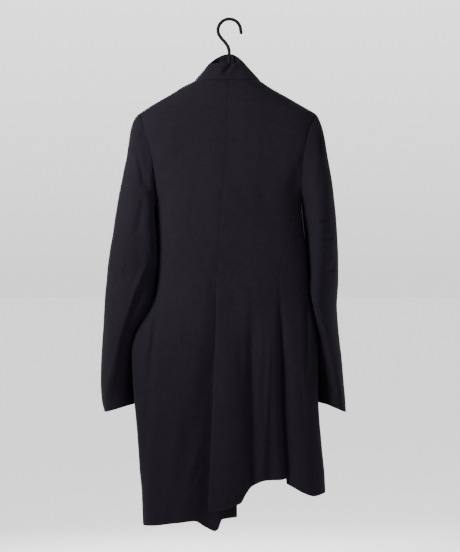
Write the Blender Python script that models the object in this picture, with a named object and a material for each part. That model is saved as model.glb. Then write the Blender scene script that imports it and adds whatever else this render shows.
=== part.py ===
"""Long asymmetric jacket with a stand collar, hanging on a plain hanger.

The back of the jacket faces -Y, its front faces +Y and the wearer's right is +X.
The origin is where the hook rests on what holds it. Tables are in millimetres, and a
"drop" is a distance below the origin. Every piece of cloth is a closed wall, lofted
through sections that come from the tables, and neighbours part by a seam's gap.
"""
import math

import bmesh
import bpy
import numpy as np

MM = 0.001
NAME = "stand_collar_jacket"

# Cloth
CLOTH = 2.0
SEAM_GAP = 0.3
COLLAR_GAP = 0.6

# Main levels, as drops
NECK_DROP = 134.0
TIP_DROP = 204.0
UNDERARM_DROP = 401.0
FRONT_NECK_DROP = 168.0
VENT_DROP = 566.0

# Armhole, an oval between the shoulder tip and the underarm
ARMHOLE_MID = (TIP_DROP + UNDERARM_DROP) / 2
ARMHOLE_HALF = (UNDERARM_DROP - TIP_DROP) / 2
ARMHOLE_DEPTH_SHARE = 0.82
ARMHOLE_STEPS = (0, 18, 36, 54, 72, 90, 108, 126, 144, 162, 171, 180)
ARMHOLE_WIDE = 51.0
SIDE_PANEL_STEP = 162
SEAM_EASE = 20.0
SLEEVE_SEAM_STEP = 90

# Vent at the centre back and overlap at the centre front
LAP_STEP = 3.4
LAP_FADE = 26.0
VENT_RISE = 20.0
UNDERLAP_START = 20.0
UNDERLAP_SPREAD = 60.0
UNDERLAP_REACH = 17.0
FRONT_LAP = 15.0

# Neck and collar
COLLAR_TOP_DROP = 96.0
COLLAR_FRONT_RISE = 26.0
COLLAR_TOP_LEFT = 46.0
COLLAR_TOP_RIGHT = 35.0
COLLAR_TOP_BACK = 26.0
COLLAR_TOP_FRONT = 30.0
COLLAR_ARCH = 2.6
COLLAR_ROWS = 5
COLLAR_BACK_STEPS = 9

# Hanger
HOOK_RADIUS = 25.0
HOOK_ROD = 3.6
HOOK_ARC_START = -4
HOOK_ARC_END = 205
HOOK_ARC_STEP = 15
HOOK_ROD_RESOLUTION = 3
HOOK_TIP = (27.3, 30.2)
HOOK_NECK = [(-16.5, 40.0), (-9.0, 48.0), (-2.8, 57.0), (-0.3, 66.0)]
HANGER_TOP_DROP = 115.0
HANGER_REACH = 168.0
HANGER_STATIONS = 19
HANGER_SIDES = 12
HANGER_HALF_HEIGHT = 8.0
HANGER_HALF_DEPTH_MIDDLE = 8.0
HANGER_HALF_DEPTH_END = 17.0
HANGER_CLEARANCE = 2.8
HANGER_NECK_SLACK = 3.0
HANGER_EASE = 40.0
HANGER_END_TAPER = 0.97
HANGER_END_ROUNDNESS = 6

# Edge of the back as it is seen from behind: shoulder slope, armhole seam, side
SHOULDER_EDGE = (
    # drop, left, right
    (134, -77, 69),
    (148, -105, 90),
    (158, -120, 106.5),
    (169, -139, 126.5),
    (181, -159.5, 146),
    (192, -177.5, 165),
    (204, -195.4, 187),
)
ARMHOLE_EDGE = (
    # drop, left, right
    (204, -195.4, 187),
    (223, -191, 181.5),
    (243, -187, 175.5),
    (273, -176.5, 168),
    (302, -168.5, 162),
    (333, -165.5, 158.5),
    (361, -164.4, 157.2),
    (401, -164, 157.5),
)
SIDE_EDGE = (
    # drop, left, right
    (401, -164, 157.5),
    (440, -160, 161),
    (505, -156, 170),
    (555, -155.5, 175.5),
    (604, -161, 179),
    (637, -173.5, 184),
    (659, -188, 189.5),
    (694, -208, 193.5),
    (729, -214.5, 194.5),
    (780, -213, 195.2),
    (843, -209, 197),
    (915, -202, 201.4),
    (989, -197, 208),
    (1040, -193, 211),
    (1115, -188.5, 213),
)

# Depth of the body behind and in front of the hanger, and how square its sections are
BODY_DEPTH = (
    # drop, back, front, squareness
    (134, 46, 54, 2.5),
    (160, 49, 56, 2.8),
    (204, 54, 58, 3.0),
    (300, 62, 62, 3.0),
    (401, 64, 64, 2.8),
    (580, 60, 60, 2.6),
    (729, 64, 64, 2.5),
    (900, 69, 67, 2.4),
    (1115, 74, 72, 2.4),
)

# Seams and edges that run down the back
CENTRE_SEAM = (
    # drop, x
    (134, 0),
    (199, -3.5),
    (302, -5.5),
    (342, -11.4),
    (406, -17.4),
    (461, -21.3),
    (540, -26.2),
    (586, -27.3),
    (689, -29.3),
    (769, -33.2),
    (887, -37.2),
    (1006, -43.1),
    (1115, -46.5),
)
PRINCESS_SEAM = (
    # drop, x
    (396, 157.4),
    (406, 154.5),
    (421, 142),
    (465, 130),
    (508, 121.5),
    (549, 110),
    (593, 107),
    (659, 112),
    (769, 117),
    (927, 125),
    (1115, 139),
)
FRONT_SIDE_SEAM = (
    # drop, x
    (396, 157.4),
    (406, 154.5),
    (430, 150),
    (520, 152),
    (700, 165),
    (1115, 178),
)
NECKLINE = (
    # drop, half width of the front neckline
    (134, 66),
    (141, 61.5),
    (148, 54),
    (157, 39),
    (165, 15),
)

# Hems
HEM_BACK_LEFT = (
    # x, drop
    (-190, 1108),
    (-157, 1104),
    (-117, 1098),
    (-78, 1094),
    (-52, 1108),
    (-32, 1116),
    (-25, 1111),
    (-16, 1090),
    (20, 1085),
)
HEM_BACK_RIGHT = (
    # x, drop
    (-50, 1070),
    (-10, 1066),
    (11, 1058),
    (25, 1053),
    (37, 1034),
    (53, 1017),
    (77, 1006),
    (140, 1004),
)
HEM_SIDE = (
    # x, drop
    (130, 1014),
    (170, 1037),
    (184, 1041),
    (212, 1036),
)
HEM_FRONT_LEFT = (
    # x, drop
    (-190, 1107),
    (-150, 1100),
    (20, 1088),
)
HEM_FRONT_RIGHT = (
    # x, drop
    (-20, 994),
    (90, 1000),
    (150, 1010),
    (185, 1034),
)

# Largest folds below the waist. Height is outward, and a trough is negative.
FOLDS = (
    # face, top drop, top x, bottom drop, bottom x, half width, height
    ("back", 720, -52, 1060, -118, 19, -9),
    ("back", 640, -3, 1080, -6, 26, 6),
    ("back", 640, 43, 1010, 47, 15, -10),
    ("back", 690, 88, 990, 72, 11, 6),
    ("back", 600, 112, 1010, 133, 11, -13),
    ("back", 610, 158, 1030, 172, 20, 6),
    ("back", 640, -168, 830, -180, 11, -3),
    ("front", 640, -150, 1080, -128, 19, -7),
    ("front", 600, -85, 1080, -78, 24, 6),
    ("front", 690, -30, 1080, -38, 16, -7),
    ("front", 620, 60, 1010, 64, 20, -7),
    ("front", 640, 112, 1020, 122, 18, 7),
)
FOLD_FADE = 210.0

# Sleeve sections from the armhole to the cuff. Each is an oval between the outer and the
# inner line, with a half depth, a turn in degrees, and its middle's shift to the front.
SLEEVE_LEFT = (
    # outer x, outer drop, inner x, inner drop, half depth, turn, forward
    (-195.4, 204, -164.0, 401, 51, 0, 0),
    (-208.0, 210, -165.7, 410, 53, 0, 0),
    (-215.0, 227, -165.2, 421, 55, 3, 0),
    (-218.4, 256, -163.0, 436, 57, 8, 0),
    (-224.0, 298, -160.0, 456, 58, 14, 1),
    (-233.5, 344, -156.5, 483, 58, 22, 2),
    (-244.3, 397, -154.0, 511, 57, 28, 4),
    (-255.0, 454, -153.0, 542, 56, 32, 6),
    (-265.0, 513, -155.0, 573, 56, 32, 8),
    (-271.0, 571, -161.0, 606, 56, 26, 10),
    (-276.8, 630, -180.0, 643, 57, 18, 13),
    (-280.3, 685, -206.5, 689, 58, 8, 17),
    (-282.9, 740, -213.5, 738, 57, -1, 21),
    (-284.5, 793, -211.5, 784, 56, -10, 25),
    (-282.4, 834, -208.5, 819, 54, -18, 28),
    (-276.0, 861, -205.5, 842, 53, -23, 30),
)
SLEEVE_RIGHT = (
    # outer x, outer drop, inner x, inner drop, half depth, turn, forward
    (187.0, 204, 157.5, 401, 51, 0, 0),
    (198.2, 211, 159.5, 410, 53, 0, 0),
    (203.5, 227, 160.8, 421, 55, 3, 0),
    (209.4, 256, 161.5, 436, 57, 8, 0),
    (216.2, 298, 164.2, 456, 58, 14, 1),
    (224.4, 344, 167.8, 483, 59, 20, 2),
    (231.8, 397, 171.2, 511, 59, 24, 4),
    (237.5, 454, 174.4, 542, 59, 26, 6),
    (241.0, 513, 177.2, 573, 59, 27, 8),
    (242.6, 571, 180.0, 606, 59, 25, 10),
    (240.4, 630, 186.3, 643, 60, 18, 13),
    (242.1, 685, 193.5, 689, 60, 9, 17),
    (247.6, 740, 195.3, 738, 59, 1, 21),
    (252.5, 793, 196.3, 784, 57, -8, 25),
    (256.9, 835, 196.6, 819, 55, -15, 28),
    (258.5, 861, 196.0, 838, 53, -22, 30),
)
SLEEVE_BLEND_ROWS = 3.0
SLEEVE_LENS = 1.85

# Rows of the body's panels, as drops
SHOULDER_ROWS = (134, 141, 148, 157, 165, 168, 180, 192)
LOWER_ROWS = (420, 450, 485, 520, 552, 574, 590, 612, 640, 670, 700, 740, 785, 835, 885, 935, 975)
HEM_STEPS = 3
HEM_SEARCH = 4
PROBE = 0.8
TANGENT_STEP = 0.6
CREASE_ANGLE = math.radians(40)

# Columns of each panel
COLUMNS = {
    "back_left": 13,
    "back_right_centre": 14,
    "back_right_side": 6,
    "front_left": 11,
    "front_right": 11,
}

# Materials: colour, roughness, metallic
WOOL_BODY = (0.0122, 0.0105, 0.0130, 1.0)
WOOL_SLEEVE = (0.0135, 0.0125, 0.0150, 1.0)
HANGER_BLACK = (0.0060, 0.0060, 0.0065, 1.0)
WOOL_ROUGHNESS = 0.92
HANGER_ROUGHNESS = 0.38


def smooth(value):
    """Ease from 0 to 1."""
    value = min(max(value, 0.0), 1.0)
    return value * value * (3 - 2 * value)


def through(table, column, at):
    """Read a column of a table at a value of its first column, without overshoot."""
    xs = [row[0] for row in table]
    ys = [row[column] for row in table]
    if at <= xs[0]:
        return ys[0]
    if at >= xs[-1]:
        return ys[-1]
    slopes = [(ys[i + 1] - ys[i]) / (xs[i + 1] - xs[i]) for i in range(len(xs) - 1)]
    tangents = [slopes[0]]
    for before, after in zip(slopes, slopes[1:]):
        same_way = before * after > 0
        tangents.append(2 * before * after / (before + after) if same_way else 0.0)
    tangents.append(slopes[-1])
    i = max(k for k in range(len(slopes)) if xs[k] <= at)
    width = xs[i + 1] - xs[i]
    t = (at - xs[i]) / width
    return (
        (2 * t**3 - 3 * t**2 + 1) * ys[i]
        + (t**3 - 2 * t**2 + t) * width * tangents[i]
        + (3 * t**2 - 2 * t**3) * ys[i + 1]
        + (t**3 - t**2) * width * tangents[i + 1]
    )


def armhole_drop(degrees):
    return ARMHOLE_MID - ARMHOLE_HALF * math.cos(math.radians(degrees))


def edge(drop, side):
    """The back's edge: column 1 is the left side and column 2 the right."""
    column = 1 if side < 0 else 2
    if drop < TIP_DROP:
        return through(SHOULDER_EDGE, column, drop)
    if drop < UNDERARM_DROP:
        return through(ARMHOLE_EDGE, column, drop)
    return through(SIDE_EDGE, column, drop)


def armhole_share(drop):
    """How far the armhole reaches from the middle plane, as a share of the body's depth."""
    height = (ARMHOLE_MID - drop) / ARMHOLE_HALF
    return ARMHOLE_DEPTH_SHARE * math.sqrt(max(0.0, 1 - height * height))


def half_width(drop, side):
    """Half width of the body's section, wider than the seam where the armhole cuts it."""
    width = abs(edge(drop, side))
    if TIP_DROP < drop < UNDERARM_DROP:
        power = through(BODY_DEPTH, 3, drop)
        width /= (1 - armhole_share(drop) ** power) ** (1 / power)
    return width


class Section:
    """A level section of the body, measured along the cloth from the middle of the back."""

    SAMPLES = 400
    kept = {}

    def __init__(self, drop):
        power = 2 / through(BODY_DEPTH, 3, drop)
        back = through(BODY_DEPTH, 1, drop)
        front = through(BODY_DEPTH, 2, drop)
        turn = np.linspace(0, 2 * math.pi, 4 * self.SAMPLES + 1)
        across = np.sin(turn)
        along = np.cos(turn)
        width = np.where(across > 0, half_width(drop, 1), half_width(drop, -1))
        depth = np.where(along > 0, back, front)
        self.x = width * np.sign(across) * np.abs(across) ** power
        self.y = -depth * np.sign(along) * np.abs(along) ** power
        steps = np.hypot(np.diff(self.x), np.diff(self.y))
        self.s = np.concatenate(([0.0], np.cumsum(steps)))
        self.girth = self.s[-1]

    @classmethod
    def at(cls, drop):
        key = round(drop, 4)
        if key not in cls.kept:
            cls.kept[key] = cls(drop)
        return cls.kept[key]

    def point(self, s):
        s = s % self.girth
        return np.interp(s, self.s, self.x), np.interp(s, self.s, self.y)

    def find(self, x, face):
        """Distance along the cloth of a place x on the back or the front, from -girth/2 on."""
        quarter = self.SAMPLES
        if face == "front":
            part = slice(quarter, 3 * quarter + 1)
            return np.interp(-x, -self.x[part], self.s[part])
        if x >= 0:
            return np.interp(x, self.x[: quarter + 1], self.s[: quarter + 1])
        part = slice(3 * quarter, 4 * quarter + 1)
        return np.interp(x, self.x[part], self.s[part]) - self.girth

    def side(self, side):
        """Distance along the cloth of the section's furthest point on one side."""
        quarter = self.SAMPLES
        return self.s[quarter] if side > 0 else self.s[3 * quarter] - self.girth


def fold_height(x, y, drop):
    """How far the folds move the cloth outward at a place."""
    face = "back" if y < 0 else "front"
    height = 0.0
    for fold_face, top, top_x, bottom, bottom_x, width, rise in FOLDS:
        if face != fold_face or drop < top:
            continue
        middle = top_x + (bottom_x - top_x) * (drop - top) / (bottom - top)
        strength = smooth((drop - top) / FOLD_FADE)
        height += rise * strength * math.exp(-(((x - middle) / width) ** 2))
    return height


def body_place(s, drop, lift=0.0):
    """A point on the outside of the body, with its folds."""
    section = Section.at(drop)
    x, y = section.point(s)
    x_after, y_after = section.point(s + TANGENT_STEP)
    x_before, y_before = section.point(s - TANGENT_STEP)
    run = math.hypot(x_after - x_before, y_after - y_before)
    out_x = (y_after - y_before) / run
    out_y = -(x_after - x_before) / run
    shift = fold_height(x, y, drop) * abs(out_y) + lift
    return np.array((x + out_x * shift, y + out_y * shift, -drop))


def outward(place, u, v, u_step, v_step):
    """Unit normal of a surface that is given as a function of two values."""
    across = place(u + u_step, v) - place(u - u_step, v)
    down = place(u, v + v_step) - place(u, v - v_step)
    normal = np.cross(down, across)
    return normal / np.linalg.norm(normal)


def make_material(name, colour, roughness):
    material = bpy.data.materials.new(name)
    material.use_nodes = True
    shader = material.node_tree.nodes["Principled BSDF"]
    shader.inputs["Base Color"].default_value = colour
    shader.inputs["Roughness"].default_value = roughness
    shader.inputs["Metallic"].default_value = 0.0
    material.diffuse_color = colour
    return material


def add_object(name, mesh, colour, roughness):
    mesh.materials.append(make_material(name + "_finish", colour, roughness))
    piece = bpy.data.objects.new(name, mesh)
    bpy.data.collections[NAME].objects.link(piece)
    return piece


def make_wall(name, outside, normals, colour):
    """Close a grid of points into a wall of cloth on its inner side."""
    rows = len(outside)
    columns = len(outside[0])
    model = bmesh.new()
    outer = [[model.verts.new(p * MM) for p in row] for row in outside]
    inner = [
        [model.verts.new((p - n * CLOTH) * MM) for p, n in zip(row, normal_row)]
        for row, normal_row in zip(outside, normals)
    ]
    for r in range(rows - 1):
        for c in range(columns - 1):
            model.faces.new((outer[r][c], outer[r + 1][c], outer[r + 1][c + 1], outer[r][c + 1]))
            model.faces.new((inner[r][c], inner[r][c + 1], inner[r + 1][c + 1], inner[r + 1][c]))
    for r in range(rows - 1):
        for c in (0, columns - 1):
            model.faces.new((outer[r][c], inner[r][c], inner[r + 1][c], outer[r + 1][c]))
    for c in range(columns - 1):
        for r in (0, rows - 1):
            model.faces.new((outer[r][c], outer[r][c + 1], inner[r][c + 1], inner[r][c]))
    bmesh.ops.recalc_face_normals(model, faces=model.faces)
    mesh = bpy.data.meshes.new(name)
    model.to_mesh(mesh)
    model.free()
    mesh.shade_smooth()
    mesh.set_sharp_from_angle(angle=CREASE_ANGLE)
    return add_object(name, mesh, colour, WOOL_ROUGHNESS)


def vent_step(drop):
    """How far the underlap lies below the right back at the vent."""
    return LAP_STEP * smooth((drop - VENT_DROP) / VENT_RISE)


def underlap_x(drop):
    """Where the left back ends: on the centre seam, and below the vent's top on its underlap."""
    seam = through(CENTRE_SEAM, 1, drop)
    reach = smooth((drop - VENT_DROP - UNDERLAP_START) / UNDERLAP_SPREAD)
    return seam + (UNDERLAP_REACH - seam) * reach


def left_back_lift(s, drop):
    """The left back sinks behind the right one at the vent."""
    x = Section.at(drop).point(s)[0]
    near = smooth((x - through(CENTRE_SEAM, 1, drop) + LAP_FADE) / LAP_FADE)
    return -vent_step(drop) * near


def left_front_lift(s, drop):
    """The left front sinks behind the right one at the centre front."""
    section = Section.at(drop)
    past = s - section.find(-FRONT_LAP, "front") + section.girth
    return -LAP_STEP * smooth(1 - past / LAP_FADE)


def no_lift(s, drop):
    return 0.0


def back_outer_edge(drop, side):
    """Where a back panel ends at the shoulder, armhole or side, along the cloth."""
    section = Section.at(drop)
    if TIP_DROP < drop < UNDERARM_DROP:
        return section.find(edge(drop, side), "back")
    return section.side(side)


def front_outer_edge(drop, side):
    """The same for a front panel, from the middle of the back round the left or the right."""
    section = Section.at(drop)
    if TIP_DROP < drop < UNDERARM_DROP:
        s = section.find(edge(drop, side), "front")
        return s if side > 0 else s - section.girth
    return section.side(side)


def neck_x(drop, side):
    """The front neckline's place, or the front's lapped edge below it."""
    if drop < FRONT_NECK_DROP:
        return side * through(NECKLINE, 1, drop)
    return -side * FRONT_LAP


def centre_edge(drop):
    return Section.at(drop).find(through(CENTRE_SEAM, 1, drop), "back")


def underlap_edge(drop):
    return Section.at(drop).find(underlap_x(drop), "back")


def side_panel_edge(table, face, drop):
    """An edge of the right side panel, which starts exactly on the armhole."""
    start = armhole_drop(SIDE_PANEL_STEP)
    slack = edge(start, 1) - through(table, 1, start)
    ease = 1 - smooth((drop - start) / SEAM_EASE)
    return Section.at(drop).find(through(table, 1, drop) + slack * ease, face)


def princess_edge(drop):
    return side_panel_edge(PRINCESS_SEAM, "back", drop)


def front_side_edge(drop):
    return side_panel_edge(FRONT_SIDE_SEAM, "front", drop)


def left_back_outer_edge(drop):
    return back_outer_edge(drop, -1)


def left_front_outer_edge(drop):
    return front_outer_edge(drop, -1)


def left_front_inner_edge(drop):
    section = Section.at(drop)
    return section.find(neck_x(drop, -1), "front") - section.girth


def right_front_inner_edge(drop):
    return Section.at(drop).find(neck_x(drop, 1), "front")


def right_back_outer_edge(drop):
    if drop < armhole_drop(SIDE_PANEL_STEP):
        return back_outer_edge(drop, 1)
    return princess_edge(drop)


def right_front_outer_edge(drop):
    if drop < armhole_drop(SIDE_PANEL_STEP):
        return front_outer_edge(drop, 1)
    return front_side_edge(drop)


def body_rows(last_step):
    """Levels of a panel's rows down to the last one that its hem doesn't shape."""
    armhole = tuple(armhole_drop(step) for step in ARMHOLE_STEPS if step <= last_step)
    return SHOULDER_ROWS + armhole + LOWER_ROWS


def make_panel(name, start_edge, end_edge, hem, rows, lift=no_lift, top=None):
    """Loft one panel between two lines that run down the body, to its own hem.

    A panel with a shaped top gives the points and normals of its first row.
    """
    columns = COLUMNS[name]
    last = rows[-1]
    shares = [c / columns for c in range(columns + 1)]

    def along_cloth(share, drop):
        start = start_edge(drop) + SEAM_GAP / 2
        end = end_edge(drop) - SEAM_GAP / 2
        return start + (end - start) * share

    def hem_drop(share):
        drop = last
        for _ in range(HEM_SEARCH):
            x = Section.at(drop).point(along_cloth(share, drop))[0]
            drop = through(hem, 1, x)
        return drop

    def place(s, drop):
        return body_place(s, drop, lift(s, drop))

    hem_levels = [hem_drop(share) for share in shares]
    levels = [[drop] * (columns + 1) for drop in rows]
    for step in range(1, HEM_STEPS + 1):
        part = step / HEM_STEPS
        levels.append([last + (hem_level - last) * part for hem_level in hem_levels])

    outside, normals = ([top[0]], [top[1]]) if top else ([], [])
    for row in levels:
        spots = [(along_cloth(share, drop), drop) for share, drop in zip(shares, row)]
        outside.append([place(s, drop) for s, drop in spots])
        normals.append([outward(place, s, drop, PROBE, PROBE) for s, drop in spots])
    return make_wall(name, outside, normals, WOOL_BODY)


def armhole_floor(columns):
    """Points and normals along the lowest part of the right armhole, from back to front."""
    points = []
    normals = []
    bottom = [step for step in ARMHOLE_STEPS if step >= SIDE_PANEL_STEP]
    stops = [(step, "back") for step in bottom] + [(step, "front") for step in bottom[-2::-1]]
    for step, face in stops:
        drop = armhole_drop(step)
        section = Section.at(drop)
        inset = SEAM_GAP / 2 if face == "back" else -SEAM_GAP / 2
        at_end = step == SIDE_PANEL_STEP
        on_side = step == bottom[-1]
        s = section.side(1) if on_side else section.find(edge(drop, 1), face)
        s += inset if at_end else 0.0
        points.append(body_place(s, drop))
        normals.append(outward(body_place, s, drop, PROBE, PROBE))
    at = np.linspace(0, len(points) - 1, columns + 1)
    spread_points = [resample(points, place) for place in at]
    spread_normals = [resample(normals, place) for place in at]
    return spread_points, spread_normals


def resample(values, place):
    """Read a list of vectors at a place between two of them."""
    first = min(int(place), len(values) - 2)
    share = place - first
    return values[first] * (1 - share) + values[first + 1] * share


def make_body():
    left_rows = body_rows(ARMHOLE_STEPS[-1])
    right_rows = body_rows(SIDE_PANEL_STEP)
    make_panel(
        "back_left", left_back_outer_edge, underlap_edge, HEM_BACK_LEFT, left_rows, left_back_lift
    )
    make_panel(
        "back_right_centre", centre_edge, right_back_outer_edge, HEM_BACK_RIGHT, right_rows
    )
    make_panel(
        "back_right_side",
        princess_edge,
        front_side_edge,
        HEM_SIDE,
        LOWER_ROWS,
        top=armhole_floor(COLUMNS["back_right_side"]),
    )
    make_panel(
        "front_left",
        left_front_inner_edge,
        left_front_outer_edge,
        HEM_FRONT_LEFT,
        left_rows,
        left_front_lift,
    )
    make_panel(
        "front_right",
        right_front_outer_edge,
        right_front_inner_edge,
        HEM_FRONT_RIGHT,
        right_rows,
    )


def grid_normals(grid, around):
    """Normals of a grid of points, by the steps to each point's neighbours."""
    if around:
        across = np.roll(grid, -1, axis=1) - np.roll(grid, 1, axis=1)
    else:
        across = np.gradient(grid, axis=1)
    down = np.gradient(grid, axis=0)
    normals = np.cross(down, across)
    return normals / np.linalg.norm(normals, axis=2, keepdims=True)


def collar_base(side):
    """Seam points of half the collar, from the middle of the back to its end in front."""
    section = Section.at(NECK_DROP)
    end = section.find(side * NECKLINE[0][1], "front") - (0 if side > 0 else section.girth)
    spots = [(end * k / COLLAR_BACK_STEPS, NECK_DROP) for k in range(COLLAR_BACK_STEPS + 1)]
    inner_edge = right_front_inner_edge if side > 0 else left_front_inner_edge
    levels = [row[0] for row in NECKLINE[1:]] + [FRONT_NECK_DROP]
    spots += [(inner_edge(drop), drop) for drop in levels]
    points = []
    sinks = []
    for s, drop in spots:
        front = side < 0 and Section.at(drop).point(s)[1] > 0
        sink = left_front_lift(s, drop) if front else 0.0
        points.append(body_place(s, drop, sink) + np.array((0, 0, COLLAR_GAP)))
        sinks.append(sink)
    return points, sinks


def collar_half(side):
    """Columns of half the collar, each from the seam up to the top edge."""
    points, sinks = collar_base(side)
    steps = [np.linalg.norm(b - a) for a, b in zip(points, points[1:])]
    run = np.concatenate(([0.0], np.cumsum(steps)))
    to_middle = run[-1] - FRONT_LAP
    columns = []
    for point, sink, at in zip(points, sinks, run):
        turn = math.pi * at / to_middle
        forward = -math.cos(turn)
        depth = COLLAR_TOP_FRONT if forward > 0 else COLLAR_TOP_BACK
        rise = COLLAR_FRONT_RISE * max(forward, 0.0) ** COLLAR_ARCH
        across = COLLAR_TOP_LEFT if side < 0 else COLLAR_TOP_RIGHT
        out = np.array((side * math.sin(turn), forward, 0.0))
        top = np.array((0.0, 0.0, rise - COLLAR_TOP_DROP))
        top += out * (across, depth, 0.0) + out * sink
        columns.append([point + (top - point) * k / COLLAR_ROWS for k in range(COLLAR_ROWS + 1)])
    return columns


def make_collar():
    left = collar_half(-1)
    right = collar_half(1)
    columns = left[:0:-1] + right
    rows = np.array(columns).transpose(1, 0, 2)[::-1]
    normals = grid_normals(rows, around=False)
    seam = normals[-1]
    seam[:, 2] = 0.0
    seam /= np.linalg.norm(seam, axis=1, keepdims=True)
    make_wall("collar_stand", list(rows), list(normals), WOOL_BODY)


def sleeve_rings(table, side):
    """Rings of one sleeve, from the armhole to the cuff, each from the top by the back."""
    half = [(step, -1) for step in ARMHOLE_STEPS]
    turns = half + [(step, 1) for step in ARMHOLE_STEPS[-2:0:-1]]
    rings = []
    for number, (ox, od, ix, inner_drop, depth, turn, forward) in enumerate(table):
        outer = np.array((ox, 0.0, -od))
        inner = np.array((ix, 0.0, -inner_drop))
        middle = (outer + inner) / 2 + (0.0, forward, 0.0)
        width = np.linalg.norm(inner - outer) / 2
        inward = (inner - outer) / (2 * width)
        back = np.array((0.0, -1.0, 0.0))
        lean = math.radians(turn)
        thin = math.sqrt(width**2 - (depth * math.sin(lean)) ** 2) / math.cos(lean)
        long_way = back * math.cos(lean) + inward * math.sin(lean)
        short_way = inward * math.cos(lean) - back * math.sin(lean)
        blend = smooth(number / SLEEVE_BLEND_ROWS)
        power = 2 / SLEEVE_LENS
        ring = []
        for step, face in turns:
            cosine = math.cos(math.radians(step))
            sine = math.sin(math.radians(step))
            along = -face * abs(sine) ** power
            across = -math.copysign(abs(cosine) ** power, cosine)
            oval = middle + short_way * thin * across + long_way * depth * along
            drop = armhole_drop(step)
            reach = through(BODY_DEPTH, 1 if face < 0 else 2, drop) * armhole_share(drop)
            seam = np.array((edge(drop, side) + side * SEAM_GAP, face * reach, -drop))
            ring.append(seam + (oval - seam) * blend)
        rings.append(ring)
    return np.array(rings)


def make_sleeve(label, table, side):
    """A two-piece sleeve: the upper piece outside and the under piece beside the body."""
    rings = sleeve_rings(table, side)
    normals = grid_normals(rings, around=True) * -side
    middle = rings[0].mean(axis=0)
    radial = (rings[0] - middle) * (0.0, ARMHOLE_WIDE**-2, ARMHOLE_HALF**-2)
    normals[0] = radial / np.linalg.norm(radial, axis=1, keepdims=True)
    count = rings.shape[1]
    back_seam = ARMHOLE_STEPS.index(SLEEVE_SEAM_STEP)
    front_seam = count - back_seam
    under = list(range(back_seam, front_seam + 1))
    upper = [column % count for column in range(front_seam, count + back_seam + 1)]
    for name, columns in ((label + "_upper", upper), (label + "_under", under)):
        outside = rings[:, columns].copy()
        facing = normals[:, columns]
        for end, neighbour in ((0, 1), (-1, -2)):
            seam = np.gradient(outside[:, end], axis=0)
            away = np.cross(facing[:, end], seam)
            away /= np.linalg.norm(away, axis=1, keepdims=True)
            towards = outside[:, neighbour] - outside[:, end]
            away *= np.sign((away * towards).sum(axis=1, keepdims=True))
            outside[:, end] += away * SEAM_GAP / 2
        make_wall(name, list(outside), list(facing), WOOL_SLEEVE)


def hanger_top(x):
    """Drop of the hanger's top: an arch in the neck, then just under the shoulders."""
    side = 1 if x > 0 else -1
    column = 1 if side < 0 else 2
    neck = abs(SHOULDER_EDGE[0][column])
    at_neck = NECK_DROP + HANGER_CLEARANCE + HANGER_NECK_SLACK
    if abs(x) <= neck:
        return HANGER_TOP_DROP + (at_neck - HANGER_TOP_DROP) * (x / neck) ** 2
    slope = [(abs(row[column]), row[0]) for row in SHOULDER_EDGE]
    slack = HANGER_NECK_SLACK * (1 - smooth((abs(x) - neck) / HANGER_EASE))
    return through(slope, 1, abs(x)) + HANGER_CLEARANCE + slack


def make_hanger_arms():
    """One bar through both shoulders, an oval section that widens to its ends."""
    model = bmesh.new()
    rings = []
    for k in range(HANGER_STATIONS):
        share = 2 * k / (HANGER_STATIONS - 1) - 1
        x = share * HANGER_REACH
        depth = HANGER_HALF_DEPTH_MIDDLE
        depth += (HANGER_HALF_DEPTH_END - HANGER_HALF_DEPTH_MIDDLE) * abs(share)
        taper = math.sqrt(1 - (abs(share) * HANGER_END_TAPER) ** HANGER_END_ROUNDNESS)
        height = HANGER_HALF_HEIGHT * taper
        middle = hanger_top(x) + HANGER_HALF_HEIGHT
        ring = []
        for j in range(HANGER_SIDES):
            turn = 2 * math.pi * j / HANGER_SIDES
            y = depth * taper * math.cos(turn)
            z = height * math.sin(turn) - middle
            ring.append(model.verts.new((x * MM, y * MM, z * MM)))
        rings.append(ring)
    for ring, following in zip(rings, rings[1:]):
        for j in range(HANGER_SIDES):
            k = (j + 1) % HANGER_SIDES
            model.faces.new((ring[j], following[j], following[k], ring[k]))
    model.faces.new(rings[0])
    model.faces.new(rings[-1])
    bmesh.ops.recalc_face_normals(model, faces=model.faces)
    mesh = bpy.data.meshes.new("hanger_arms")
    model.to_mesh(mesh)
    model.free()
    mesh.shade_smooth()
    mesh.set_sharp_from_angle(angle=CREASE_ANGLE)
    add_object("hanger_arms", mesh, HANGER_BLACK, HANGER_ROUGHNESS)


def make_hook():
    """A rod bent to a hook, whose stem stands on the hanger."""
    middle = HOOK_RADIUS - HOOK_ROD
    points = [HOOK_TIP]
    for degrees in range(HOOK_ARC_START, HOOK_ARC_END + 1, HOOK_ARC_STEP):
        turn = math.radians(degrees)
        points.append((HOOK_RADIUS * math.cos(turn), middle - HOOK_RADIUS * math.sin(turn)))
    points += HOOK_NECK
    points.append((0.0, HANGER_TOP_DROP - SEAM_GAP))
    curve = bpy.data.curves.new("hanger_hook", "CURVE")
    curve.dimensions = "3D"
    curve.bevel_depth = HOOK_ROD * MM
    curve.bevel_resolution = HOOK_ROD_RESOLUTION
    curve.use_fill_caps = True
    spline = curve.splines.new("POLY")
    spline.points.add(len(points) - 1)
    for spot, (x, drop) in zip(spline.points, points):
        spot.co = (x * MM, 0.0, -drop * MM, 1.0)
    curve.materials.append(make_material("hanger_hook_finish", HANGER_BLACK, HANGER_ROUGHNESS))
    hook = bpy.data.objects.new("hanger_hook", curve)
    bpy.data.collections[NAME].objects.link(hook)


def main():
    for old in list(bpy.data.objects):
        bpy.data.objects.remove(old, do_unlink=True)
    collection = bpy.data.collections.new(NAME)
    bpy.context.scene.collection.children.link(collection)
    make_body()
    make_collar()
    make_sleeve("sleeve_left", SLEEVE_LEFT, -1)
    make_sleeve("sleeve_right", SLEEVE_RIGHT, 1)
    make_hanger_arms()
    make_hook()


main()
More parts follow.
